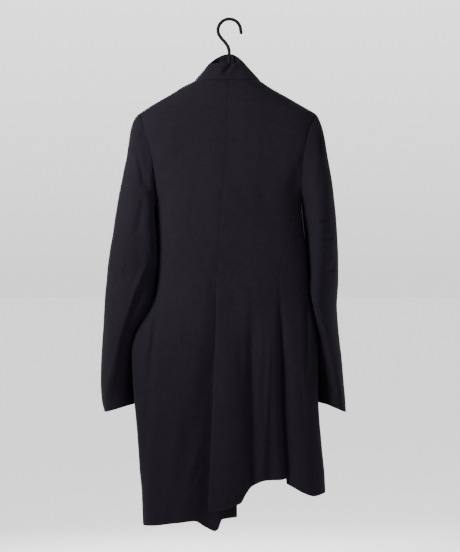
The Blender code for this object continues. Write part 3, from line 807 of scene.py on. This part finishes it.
def edge_distances(grid, free):
    """Distance of each point from the nearest sewn edge and from the nearest free one.

    Free names the piece's free edges, each with the drop below which it is free.
    """
    across = distance_along(grid, 1)
    down = distance_along(grid, 0)
    edges = {"left": across, "right": across[:, -1:] - across,
             "top": down, "bottom": down[-1:] - down}
    to_sewn = np.full(across.shape, FAR)
    to_free = np.full(across.shape, FAR)
    for name, distance in edges.items():
        is_free = -grid[..., 2] > free.get(name, FAR)
        to_sewn = np.where(is_free, to_sewn, np.minimum(to_sewn, distance))
        to_free = np.where(is_free, np.minimum(to_free, distance), to_free)
    return to_sewn, to_free


def rolled_in(grid, free, share=1.0):
    """How far a piece's edges turn inward, into its seams and at its free edges."""
    to_sewn, to_free = edge_distances(grid, free)
    seam = share * SEAM_ROLL_DEPTH * np.clip(1 - to_sewn / SEAM_ROLL, 0, 1) ** 2
    hem = HEM_ROLL_DEPTH * np.clip(1 - to_free / HEM_ROLL, 0, 1) ** 2
    return np.maximum(seam, hem)


def object_from(name, vertices, faces):
    """An object that is smooth except at sharp angles."""
    mesh = bpy.data.meshes.new(name)
    mesh.from_pydata(vertices.tolist(), [], faces)
    mesh.validate()
    mesh.shade_smooth()
    mesh.set_sharp_from_angle(angle=math.radians(SHARP_ANGLE))
    piece = bpy.data.objects.new(name, mesh)
    bpy.context.scene.collection.objects.link(piece)
    return piece


def grid_faces(rows, columns, first, flip):
    """Quads of a grid whose vertices are numbered row by row from first."""
    faces = []
    for r in range(rows - 1):
        for c in range(columns - 1):
            a = first + r * columns + c
            quad = (a, a + columns, a + columns + 1, a + 1)
            faces.append(quad[::-1] if flip else quad)
    return faces


def rim_loop(rows, columns):
    """Grid places round the border, once, in order."""
    top = [(0, c) for c in range(columns - 1)]
    right = [(r, columns - 1) for r in range(rows - 1)]
    bottom = [(rows - 1, c) for c in range(columns - 1, 0, -1)]
    left = [(r, 0) for r in range(rows - 1, 0, -1)]
    return top + right + bottom + left


def make_shell(name, grid, normals, material, free):
    """Close a grid of outer points into a thin shell of cloth with a rounded rim."""
    rows, columns = grid.shape[:2]
    inner = grid - normals * CLOTH
    loop = rim_loop(rows, columns)
    border = np.array([grid[place] for place in loop])
    ahead = np.roll(border, -1, axis=0) - np.roll(border, 1, axis=0)
    facing = np.array([normals[place] for place in loop])
    away = np.cross(ahead, facing)
    away /= np.maximum(np.linalg.norm(away, axis=1, keepdims=True), TINY)
    middle = grid.reshape(-1, 3).mean(axis=0)
    if ((border - middle) * away).sum() < 0:
        away = -away
    rim = border - facing * CLOTH / 2 + away * CLOTH * RIM_BULGE
    vertices = np.concatenate((grid.reshape(-1, 3), inner.reshape(-1, 3), rim)) * MM
    count = rows * columns
    outward = faces_outward(grid, normals)
    faces = grid_faces(rows, columns, 0, not outward)
    faces += grid_faces(rows, columns, count, outward)
    for k, (r, c) in enumerate(loop):
        following = (k + 1) % len(loop)
        next_r, next_c = loop[following]
        a, b = r * columns + c, next_r * columns + next_c
        m, n = 2 * count + k, 2 * count + following
        for quad in ((a, b, n, m), (m, n, b + count, a + count)):
            faces.append(quad if outward else quad[::-1])
    piece = object_from(name, vertices, faces)
    add_cloth_maps(piece, grid, loop, free)
    piece.data.materials.append(material)
    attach(piece, "root")
    return piece


def faces_outward(grid, normals):
    """Whether quads wound down and then across face the way the normals point."""
    wound = np.cross(grid[1:, :-1] - grid[:-1, :-1], grid[:-1, 1:] - grid[:-1, :-1])
    return (wound * normals[:-1, :-1]).sum() > 0


def add_cloth_maps(piece, grid, loop, free):
    """Lay real lengths along and down the cloth as a map, and mark the free edges for wear and a
    painted highlight, and the seams for painted shade.
    """
    mesh = piece.data
    to_sewn, to_free = edge_distances(grid, free)
    flat = np.stack((distance_along(grid, 1), -distance_along(grid, 0)), axis=2)
    flat = flat.reshape(-1, 2) * MM
    border = np.array([r * grid.shape[1] + c for r, c in loop])
    flat = np.concatenate((flat, flat, flat[border]))
    # Free edges are painted paler, partly for wear and partly as a painted highlight of the rim;
    # sewn seams are painted darker as painted shade.
    marks = {"edge_wear_and_highlight": np.exp(-to_free / WEAR_AND_HIGHLIGHT_REACH).ravel(),
             "seam_shade": np.exp(-to_sewn / SEAM_SHADE_REACH).ravel()}
    for name, outer in marks.items():
        values = np.concatenate((outer, outer * 0, outer[border]))
        attribute = mesh.attributes.new(name, "FLOAT", "POINT")
        attribute.data.foreach_set("value", values.astype(np.float32))
    layer = mesh.uv_layers.new(name="cloth")
    corners = np.zeros(len(mesh.loops), dtype=np.int32)
    mesh.loops.foreach_get("vertex_index", corners)
    layer.data.foreach_set("uv", flat[corners].astype(np.float32).ravel())


def filled(levels, cell):
    """Levels with even steps between them, none longer than a cell."""
    rows = [levels[0]]
    for above, below in zip(levels, levels[1:]):
        count = max(1, math.ceil((below - above) / cell))
        rows += [above + (below - above) * k / count for k in range(1, count + 1)]
    return np.array(rows, float)


def panel_places(start_edge, end_edge, hem, levels, columns, top=None):
    """Places along the cloth and drops of a panel's grid, to its own hem.

    A panel with a shaped top gives the places and drops of its first row.
    """
    starts = np.array([start_edge(drop) for drop in BODY.drops]) + SEAM_GAP / 2
    ends = np.array([end_edge(drop) for drop in BODY.drops]) - SEAM_GAP / 2
    shares = np.linspace(0, 1, columns)

    def along(drop):
        """Places across the panel, each column at its own drop or all at one."""
        start = np.interp(drop, BODY.drops, starts)
        end = np.interp(drop, BODY.drops, ends)
        return start + (end - start) * shares

    rows = np.repeat(filled(levels, CELL)[:, None], columns, axis=1)
    last = rows[-1]
    hem_drop = last
    for _ in range(HEM_PASSES):
        hem_drop = through(hem, 1, BODY.read(along(hem_drop), hem_drop)[:, 0])
    count = math.ceil((hem_drop - last).max() / CELL)
    below = [last + (hem_drop - last) * k / count for k in range(1, count + 1)]
    drops = np.concatenate((rows, below))
    places = along(drops)
    if top:
        top_places, top_drops = top
        count = math.ceil((drops[0].max() - top_drops.min()) / CELL)
        parts = np.arange(count)[:, None] / count
        places = np.concatenate((top_places + (places[0] - top_places) * parts, places))
        drops = np.concatenate((top_drops + (drops[0] - top_drops) * parts, drops))
    return places, drops


def body_surface(places, drops, lift):
    """Points on the outside of the body, with its folds and creases, and which way is out."""
    found = BODY.read(places, drops)
    x, y, out_x, out_y = (found[..., k] for k in range(4))
    face = np.where(y < 0, "back", "front")
    height = fold_height(x, drops, face) + crease_height(x, drops, face, BODY_CREASES)
    shift = height * np.abs(out_y) + lift(places, drops, x)
    out = np.stack((out_x, out_y, np.zeros_like(out_x)), axis=-1)
    points = np.stack((x, y, -drops), axis=-1) + out * shift[..., None]
    return points, out


def armhole_floor(columns):
    """Places and drops along the lowest part of the right armhole, from back to front."""
    turns = np.linspace(SIDE_PANEL_TURN, 360 - SIDE_PANEL_TURN, columns)
    drops = armhole_drop(turns)
    places = []
    for turn, drop in zip(turns, drops):
        face = "back" if turn < 180 else "front"
        places.append(BODY.find(float(edge(drop, 1)), drop, face))
    places = np.array(places)
    places[0] += SEAM_GAP / 2
    places[-1] -= SEAM_GAP / 2
    return places, drops


def make_panel(material, name, start_edge, end_edge, hem, levels, lift, free, top):
    """One piece of the body, between two edges and down to its hem."""
    columns = math.ceil(CUTS[name][0] / MM / CELL)
    first_row = armhole_floor(columns) if top else None
    places, drops = panel_places(start_edge, end_edge, hem, levels, columns, first_row)
    points, out = body_surface(places, drops, lift)
    shift = ripple(points) - rolled_in(points, free)
    points = points + out * shift[..., None]
    normals = outward_normals(points, out)
    piece = make_shell(name + "_cloth", points, normals, material, free)
    declare_cloth(name)


def declare_cloth(name):
    """Hide the solid that a piece stands for."""
    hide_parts(name)


def make_body(material):
    """The five pieces of the body."""
    shoulder = [NECK_DROP, *[row[0] for row in NECKLINE[1:]], TIP_DROP]
    side_top = float(armhole_drop(SIDE_PANEL_TURN))
    whole = shoulder + [UNDERARM_DROP, LAST_LEVEL_ROW]
    split = shoulder + [side_top, LAST_LEVEL_ROW]
    side_levels = [SIDE_PANEL_TOP_ROW, LAST_LEVEL_ROW]
    hem_only = {"bottom": 0}
    right_vent = {"bottom": 0, "left": VENT_DROP}
    left_vent = {"bottom": 0, "right": VENT_DROP}
    left_lap = {"bottom": 0, "left": FRONT_NECK_DROP}
    right_lap = {"bottom": 0, "right": FRONT_NECK_DROP}
    panels = (
        # name, start edge, end edge, hem, levels, lift, free edges, shaped top
        ("back_left", partial(outer_edge, face="back", side=-1), underlap_edge,
         HEM_BACK_LEFT, whole, left_back_lift, left_vent, False),
        ("back_right_centre", centre_edge, partial(right_outer_edge, face="back"),
         HEM_BACK_RIGHT, split, no_lift, right_vent, False),
        ("back_right_side", partial(side_panel_edge, face="back"),
         partial(side_panel_edge, face="front"), HEM_SIDE, side_levels, no_lift, hem_only, True),
        ("front_left", partial(neck_edge, side=-1), partial(outer_edge, face="front", side=-1),
         HEM_FRONT_LEFT, whole, left_front_lift, left_lap, False),
        ("front_right", partial(right_outer_edge, face="front"), partial(neck_edge, side=1),
         HEM_FRONT_RIGHT, split, no_lift, right_lap, False),
    )
    for panel in panels:
        make_panel(material, *panel)


def collar_base(side):
    """Seam points of half the collar, from the middle of the back to its end in front."""
    end = BODY.find_front(side * NECKLINE[0][1], NECK_DROP, side)
    count = math.ceil(abs(end) / COLLAR_CELL)
    places = [end * k / count for k in range(count + 1)]
    drops = [NECK_DROP] * len(places)
    for drop in filled([row[0] for row in NECKLINE], COLLAR_SEAM_STEP)[1:]:
        places.append(neck_edge(drop, side))
        drops.append(drop)
    places, drops = np.array(places), np.array(drops)
    found = BODY.read(places, drops)
    sink = np.zeros_like(places)
    if side < 0:
        lifted = left_front_lift(places, drops, found[:, 0])
        sink = np.where(found[:, 1] > 0, lifted, 0.0)
    points = np.stack((found[:, 0], found[:, 1], COLLAR_GAP - drops), axis=1)
    points[:, :2] += found[:, 2:] * sink[:, None]
    return points, sink


def collar_half(side):
    """Columns of half the collar, each from the seam up to the top edge."""
    points, sink = collar_base(side)
    run = distance_along(points[:, None], 0)[:, 0]
    even = np.linspace(0, run[-1], math.ceil(run[-1] / COLLAR_CELL))
    points = np.stack([np.interp(even, run, points[:, k]) for k in range(3)], axis=1)
    sink = np.interp(even, run, sink)
    turn = math.pi * even / (run[-1] - FRONT_LAP)
    forward = -np.cos(turn)
    depth = np.where(forward > 0, COLLAR_TOP_FRONT, COLLAR_TOP_BACK)
    across = COLLAR_TOP_LEFT if side < 0 else COLLAR_TOP_RIGHT
    rise = COLLAR_FRONT_RISE * np.maximum(forward, 0.0) ** COLLAR_ARCH
    tops = np.stack((side * np.sin(turn) * (across + sink), forward * (depth + sink),
                     rise - COLLAR_TOP_DROP), axis=1)
    shares = np.linspace(1, 0, COLLAR_HEIGHT_CELLS)[:, None, None]
    bend = shares[..., 0] ** COLLAR_FLARE_POWER
    flare = COLLAR_FLARE * np.maximum(forward, 0.0)[None, :] * bend
    outward = np.stack((side * np.sin(turn), forward, np.zeros_like(turn)), axis=1)
    return points + (tops - points) * shares + outward * flare[..., None]


def make_collar(material):
    """The standing collar, one piece round the neck."""
    left = collar_half(-1)
    right = collar_half(1)
    grid = np.concatenate((left[:, :0:-1], right), axis=1)
    normals = outward_normals(grid, grid * (1, 1, 0))
    face = np.where(grid[..., 1] < 0, "back", "front")
    height = crease_height(grid[..., 0], -grid[..., 2], face, COLLAR_CREASES)
    shift = height * np.abs(normals[..., 1]) + ripple(grid) * COLLAR_RIPPLE
    free = {"top": 0, "left": 0, "right": 0}
    shift -= rolled_in(grid, free)
    grid = grid + normals * shift[..., None]
    piece = make_shell("collar_stand_cloth", grid, normals, material, free)
    declare_cloth("collar_stand")


def sleeve_grid(table, side, turns):
    """Points of one sleeve at given turns round it, from the armhole to the cuff."""
    numbered = [(number, *row) for number, row in enumerate(table)]
    number = np.linspace(0, len(table) - 1, SLEEVE_ROWS)
    columns = [through(numbered, k, number)[:, None] for k in range(1, 8)]
    outer_x, outer_drop, inner_x, inner_drop, depth, lean, forward = columns
    zero = np.zeros_like(outer_x)
    outer = np.stack((outer_x, zero, -outer_drop), axis=2)
    inner = np.stack((inner_x, zero, -inner_drop), axis=2)
    middle = (outer + inner) / 2 + np.stack((zero, forward, zero), axis=2)
    width = np.linalg.norm(inner - outer, axis=2, keepdims=True) / 2
    inward = (inner - outer) / (2 * width)
    back = np.array((0.0, -1.0, 0.0))
    lean = np.radians(lean)[..., None]
    depth = depth[..., None]
    thin = np.sqrt(width**2 - (depth * np.sin(lean)) ** 2) / np.cos(lean)
    long_way = back * np.cos(lean) + inward * np.sin(lean)
    short_way = inward * np.cos(lean) - back * np.sin(lean)
    cosine = np.cos(np.radians(turns))
    sine = np.sin(np.radians(turns))
    power = 2 / SLEEVE_LENS
    along = (np.sign(sine) * np.abs(sine) ** power)[None, :, None]
    across = (-np.sign(cosine) * np.abs(cosine) ** power)[None, :, None]
    oval = middle + short_way * thin * across + long_way * depth * along
    drop = armhole_drop(turns)
    face = np.where(sine > 0, -1.0, 1.0)
    body_depth = np.where(sine > 0, through(BODY_DEPTH, 1, drop), through(BODY_DEPTH, 2, drop))
    reach = body_depth * armhole_share(drop)
    seam = np.stack((edge(drop, side) + side * SEAM_GAP, face * reach, -drop), axis=1)
    blend = smooth(number / SLEEVE_BLEND_ROWS)[:, None, None]
    return seam + (oval - seam) * blend, middle


def rest_on_body(grid, side):
    """Let a sleeve bulge inward until it rests against the front half of the body's side."""
    x, y, drop = grid[..., 0], grid[..., 1], -grid[..., 2]
    depth = through(BODY_DEPTH, 2, drop)
    power = through(BODY_DEPTH, 3, drop)
    share = np.clip(y / depth, 0, REST_DEPTH_LIMIT)
    flank = half_width(drop, side) * (1 - share**power) ** (1 / power) + REST_GAP
    gap = np.maximum(np.abs(x) - flank, 0)
    reach = REST_LIMIT * (1 - np.exp(-gap / REST_LIMIT))
    low, high = REST_DEPTHS
    top, bottom = REST_DROPS
    strength = smooth((y - low) / REST_FADE) * smooth((high - y) / REST_FADE)
    strength *= smooth((drop - top) / REST_FADE) * smooth((bottom - drop) / REST_FADE)
    to_seam = 1 - np.linspace(0, 1, grid.shape[1])
    strength = strength * smooth(to_seam / REST_SEAM_SHARE)
    rested = grid.copy()
    rested[..., 0] -= side * reach * strength
    return rested


def make_sleeve(label, table, side, material):
    """A two-piece sleeve: the upper piece outside and the under piece beside the body."""
    side_name = "left" if side < 0 else "right"
    creases = [row[1:] for row in SLEEVE_CREASES if row[0] == side_name]
    free = {"bottom": 0}
    for part, start, end in SLEEVE_PARTS:
        name = f"{label}_{part}"
        count = math.ceil(CUTS[name][0] / MM / SLEEVE_CELL)
        grid, middle = sleeve_grid(table, side, np.linspace(start, end, count))
        if part == "under":
            grid = rest_on_body(grid, side)
        normals = outward_normals(grid, grid - middle)
        face = np.where(normals[..., 1] < 0, "back", "front")
        height = crease_height(grid[..., 0], -grid[..., 2], face, creases)
        facing = smooth(np.abs(normals[..., 1]) * SLEEVE_FACING_GAIN)
        joined = smooth(np.arange(SLEEVE_ROWS) / SLEEVE_JOIN_ROWS)[:, None]
        shift = (height * facing + ripple(grid)) * joined
        shift = shift - rolled_in(grid, free, SLEEVE_SEAM_SHARE)
        grid = grid + normals * shift[..., None]
        for end_column, neighbour in ((0, 1), (-1, -2)):
            towards = grid[:, neighbour] - grid[:, end_column]
            towards /= np.linalg.norm(towards, axis=1, keepdims=True)
            grid[:, end_column] += towards * SEAM_GAP / 2
        piece = make_shell(name + "_cloth", grid, normals, material, free)
        declare_cloth(name)


def hook_line():
    """Middle line of the hook's rod, from its tip to its foot."""
    middle = HOOK_RADIUS - HOOK_ROD
    points = [HOOK_TIP]
    for degrees in range(HOOK_ARC_START, HOOK_ARC_END + 1, HOOK_ARC_STEP):
        turn = math.radians(degrees)
        points.append((HOOK_RADIUS * math.cos(turn), middle - HOOK_RADIUS * math.sin(turn)))
    points += HOOK_NECK + [(0.0, HOOK_FOOT_DROP)]
    return np.array([(x, 0.0, -drop) for x, drop in points])


def make_hook(material):
    """A round rod bent to a hook, with a rounded tip."""
    line = hook_line()
    run = distance_along(line[:, None], 0)[:, 0]
    even = np.linspace(0, run[-1], HOOK_RINGS)
    line = np.stack([np.interp(even, run, line[:, k]) for k in range(3)], axis=1)
    for _ in range(HOOK_SMOOTH_PASSES):
        line[1:-1] = (line[:-2] + 2 * line[1:-1] + line[2:]) / 4
    along = np.gradient(line, axis=0)
    along /= np.linalg.norm(along, axis=1, keepdims=True)
    forward = np.array((0.0, 1.0, 0.0))
    side = np.cross(along, forward)
    radius = np.full(len(line), HOOK_ROD)
    tip = np.clip(even / HOOK_ROD, 0, 1)
    radius *= np.sqrt(np.clip(1 - (1 - tip) ** 2, HOOK_TIP_AREA, 1))
    turns = np.linspace(0, 2 * math.pi, HOOK_SIDES, endpoint=False)
    vertices = []
    for centre, across, size in zip(line, side, radius):
        for turn in turns:
            outward = across * math.cos(turn) + forward * math.sin(turn)
            vertices.append(centre + size * outward)
    faces = []
    for ring in range(len(line) - 1):
        for k in range(HOOK_SIDES):
            a = ring * HOOK_SIDES + k
            b = ring * HOOK_SIDES + (k + 1) % HOOK_SIDES
            faces.append((a, b, b + HOOK_SIDES, a + HOOK_SIDES))
    faces.append(tuple(range(HOOK_SIDES - 1, -1, -1)))
    last = (len(line) - 1) * HOOK_SIDES
    faces.append(tuple(range(last, last + HOOK_SIDES)))
    piece = object_from("hook_rod", np.array(vertices) * MM, faces)
    piece.data.materials.append(material)
    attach(piece, "root")
    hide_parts("hanger_hook")


class Nodes:
    """A short way to write a node tree."""

    def __init__(self, tree):
        self.tree = tree
        tree.nodes.clear()

    def add(self, kind, **settings):
        """A new node, with its inputs and its other settings given by name."""
        node = self.tree.nodes.new(kind)
        for key, value in settings.items():
            if key in node.inputs:
                node.inputs[key].default_value = value
            else:
                setattr(node, key, value)
        return node

    def feed(self, value, target):
        """Set an input to a number or a colour, or link a socket to it."""
        if isinstance(value, (int, float)):
            target.default_value = value
        elif isinstance(value, tuple):
            target.default_value = (*value, 1.0)
        else:
            self.tree.links.new(value, target)

    def maths(self, operation, first, second):
        """The result for two values, each a number or a socket."""
        node = self.add("ShaderNodeMath", operation=operation)
        self.feed(first, node.inputs[0])
        self.feed(second, node.inputs[1])
        return node.outputs[0]

    def weighted(self, base, *parts):
        """A base with sockets added to it, each times its own share."""
        total = base
        for socket, share in parts:
            total = self.maths("ADD", total, self.maths("MULTIPLY", socket, share))
        return total

    def mix(self, share, first, second):
        """A tone between two, each a colour or a socket."""
        node = self.add("ShaderNodeMix", data_type="RGBA")
        for name, value in (("Factor", share), ("A", first), ("B", second)):
            self.feed(value, node.inputs[name])
        return node.outputs["Result"]

    def texture(self, kind, vector, settings):
        """The strength of a texture that is read at a vector."""
        node = self.add(kind, **settings)
        self.feed(vector, node.inputs["Vector"])
        return node.outputs["Fac"]


def weave(nodes, cloth):
    """Height of a twill weave with its threads and hair."""
    twill = nodes.texture("ShaderNodeTexWave", cloth, TWILL)
    threads = nodes.texture("ShaderNodeTexWave", cloth, THREADS)
    hair = nodes.texture("ShaderNodeTexNoise", cloth, HAIR)
    return nodes.weighted(0.0, (twill, TWILL_SHARE), (threads, THREAD_SHARE), (hair, HAIR_SHARE))


def start_material(name, surface):
    """A material with its nodes and its one shader, which has a surface's settings."""
    material = bpy.data.materials.new(name)
    material.use_nodes = True
    nodes = Nodes(material.node_tree)
    output = nodes.add("ShaderNodeOutputMaterial")
    shader = nodes.add("ShaderNodeBsdfPrincipled", **surface)
    nodes.feed(shader.outputs[0], output.inputs["Surface"])
    return material, nodes, shader


def add_look(nodes, shader, tone, marks, roughness, height, relief):
    """Give a shader its tone, a roughness that varies with marks, and relief from a height."""
    least, added = roughness
    bump = nodes.add("ShaderNodeBump", **relief)
    nodes.feed(height, bump.inputs["Height"])
    nodes.feed(tone, shader.inputs["Base Color"])
    nodes.feed(nodes.weighted(least, (marks, added)), shader.inputs["Roughness"])
    nodes.feed(bump.outputs["Normal"], shader.inputs["Normal"])


def wool_material(name):
    """Matt wool twill: threads, nap, broad unevenness, free edges paler for wear and a painted
    highlight, and seams darkened by painted shade.
    """
    material, nodes, shader = start_material(name, WOOL_SURFACE)
    cloth = nodes.add("ShaderNodeUVMap", uv_map="cloth").outputs["UV"]
    space = nodes.add("ShaderNodeTexCoord").outputs["Object"]
    height = weave(nodes, cloth)
    nap = nodes.texture("ShaderNodeTexNoise", space, NAP)
    broad = nodes.texture("ShaderNodeTexNoise", space, BROAD)
    blend = nodes.weighted(TONE_BASE, (nap, NAP_SHARE), (broad, BROAD_SHARE), (height, WEAVE_SHARE))
    tone = nodes.mix(blend, WOOL, WOOL_LIGHT)
    # Free edges turn paler for wear and a painted highlight; seams turn darker as painted shade.
    for painted_mark, share, colour in WOOL_WEAR_AND_PAINTED_LIGHT:
        strength = nodes.add("ShaderNodeAttribute", attribute_name=painted_mark).outputs["Fac"]
        tone = nodes.mix(nodes.maths("MULTIPLY", strength, share), tone, colour)
    add_look(nodes, shader, tone, nap, WOOL_ROUGHNESS, height, WOOL_RELIEF)
    return material


def plastic_material(name):
    """Satin black rod and arms, with faint handling marks."""
    material, nodes, shader = start_material(name, PLASTIC_SURFACE)
    space = nodes.add("ShaderNodeTexCoord").outputs["Object"]
    marks = nodes.texture("ShaderNodeTexNoise", space, MARKS)
    tone = nodes.mix(marks, HANGER_BLACK, HANGER_WORN)
    add_look(nodes, shader, tone, marks, PLASTIC_ROUGHNESS, marks, PLASTIC_RELIEF)
    return material


def make_floor():
    """A wide round floor, pale and slightly glowing."""
    turns = np.linspace(0, 2 * math.pi, FLOOR_SIDES, endpoint=False)
    ring = np.stack((np.cos(turns), np.sin(turns), np.zeros(FLOOR_SIDES)), axis=1) * FLOOR_RADIUS
    ring[:, 2] = -FLOOR_DROP
    floor = object_from("floor", ring, [tuple(range(FLOOR_SIDES))])
    material, _, _ = start_material("pale_floor", FLOOR_SURFACE)
    floor.data.materials.append(material)


def make_world():
    """Pale surroundings: even at the horizon, and above it brighter towards +Y than -Y."""
    world = bpy.data.worlds.new("pale_room")
    world.use_nodes = True
    nodes = Nodes(world.node_tree)
    output = nodes.add("ShaderNodeOutputWorld")
    background = nodes.add("ShaderNodeBackground")
    space = nodes.add("ShaderNodeTexCoord")
    split = nodes.add("ShaderNodeSeparateXYZ")
    rise = nodes.add("ShaderNodeClamp")
    nodes.feed(space.outputs["Generated"], split.inputs[0])
    upper = nodes.mix(nodes.weighted(0.5, (split.outputs["Y"], 0.5)), ROOM_DIM, ROOM_BRIGHT)
    nodes.feed(nodes.maths("DIVIDE", split.outputs["Z"], HORIZON_HEIGHT), rise.inputs["Value"])
    sky = nodes.mix(rise.outputs["Result"], ROOM_HORIZON, upper)
    nodes.feed(sky, background.inputs["Color"])
    nodes.feed(background.outputs[0], output.inputs["Surface"])
    bpy.context.scene.world = world


def make_light(name, place, target, size, power, spread):
    """A square lamp that faces a target and isn't seen itself."""
    light = bpy.data.lights.new(name, "AREA")
    light.shape = "SQUARE"
    light.size = size
    light.energy = power
    light.spread = math.radians(spread)
    lamp = bpy.data.objects.new(name, light)
    lamp.location = place
    way = Vector(target) - Vector(place)
    lamp.rotation_euler = way.to_track_quat("-Z", "Y").to_euler()
    lamp.visible_camera = False
    bpy.context.scene.collection.objects.link(lamp)


def make_camera():
    """A level camera that sees the picture's height at the middle plane of the jacket."""
    camera = bpy.data.cameras.new("camera")
    camera.sensor_fit = "VERTICAL"
    camera.sensor_height = SENSOR_HEIGHT
    camera.lens = SENSOR_HEIGHT * -CAMERA_PLACE[1] / PICTURE_HEIGHT
    holder = bpy.data.objects.new("camera", camera)
    holder.location = CAMERA_PLACE
    holder.rotation_euler = (math.pi / 2, 0.0, 0.0)
    bpy.context.scene.collection.objects.link(holder)
    bpy.context.scene.camera = holder


def make_studio():
    """The floor, the room round it and the lights."""
    make_floor()
    make_world()
    for light in LIGHTS:
        make_light(*light)


def main():
    """Make the camera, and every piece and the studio."""
    make_camera()
    wool = wool_material("wool_twill")
    plastic = plastic_material("satin_black")
    make_body(wool)
    make_collar(wool)
    make_sleeve("sleeve_left", SLEEVE_LEFT, -1, wool)
    make_sleeve("sleeve_right", SLEEVE_RIGHT, 1, wool)
    make_hook(plastic)
    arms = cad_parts["hanger_arms"]
    for slot in arms.material_slots:
        slot.material = plastic
    make_studio()


main()
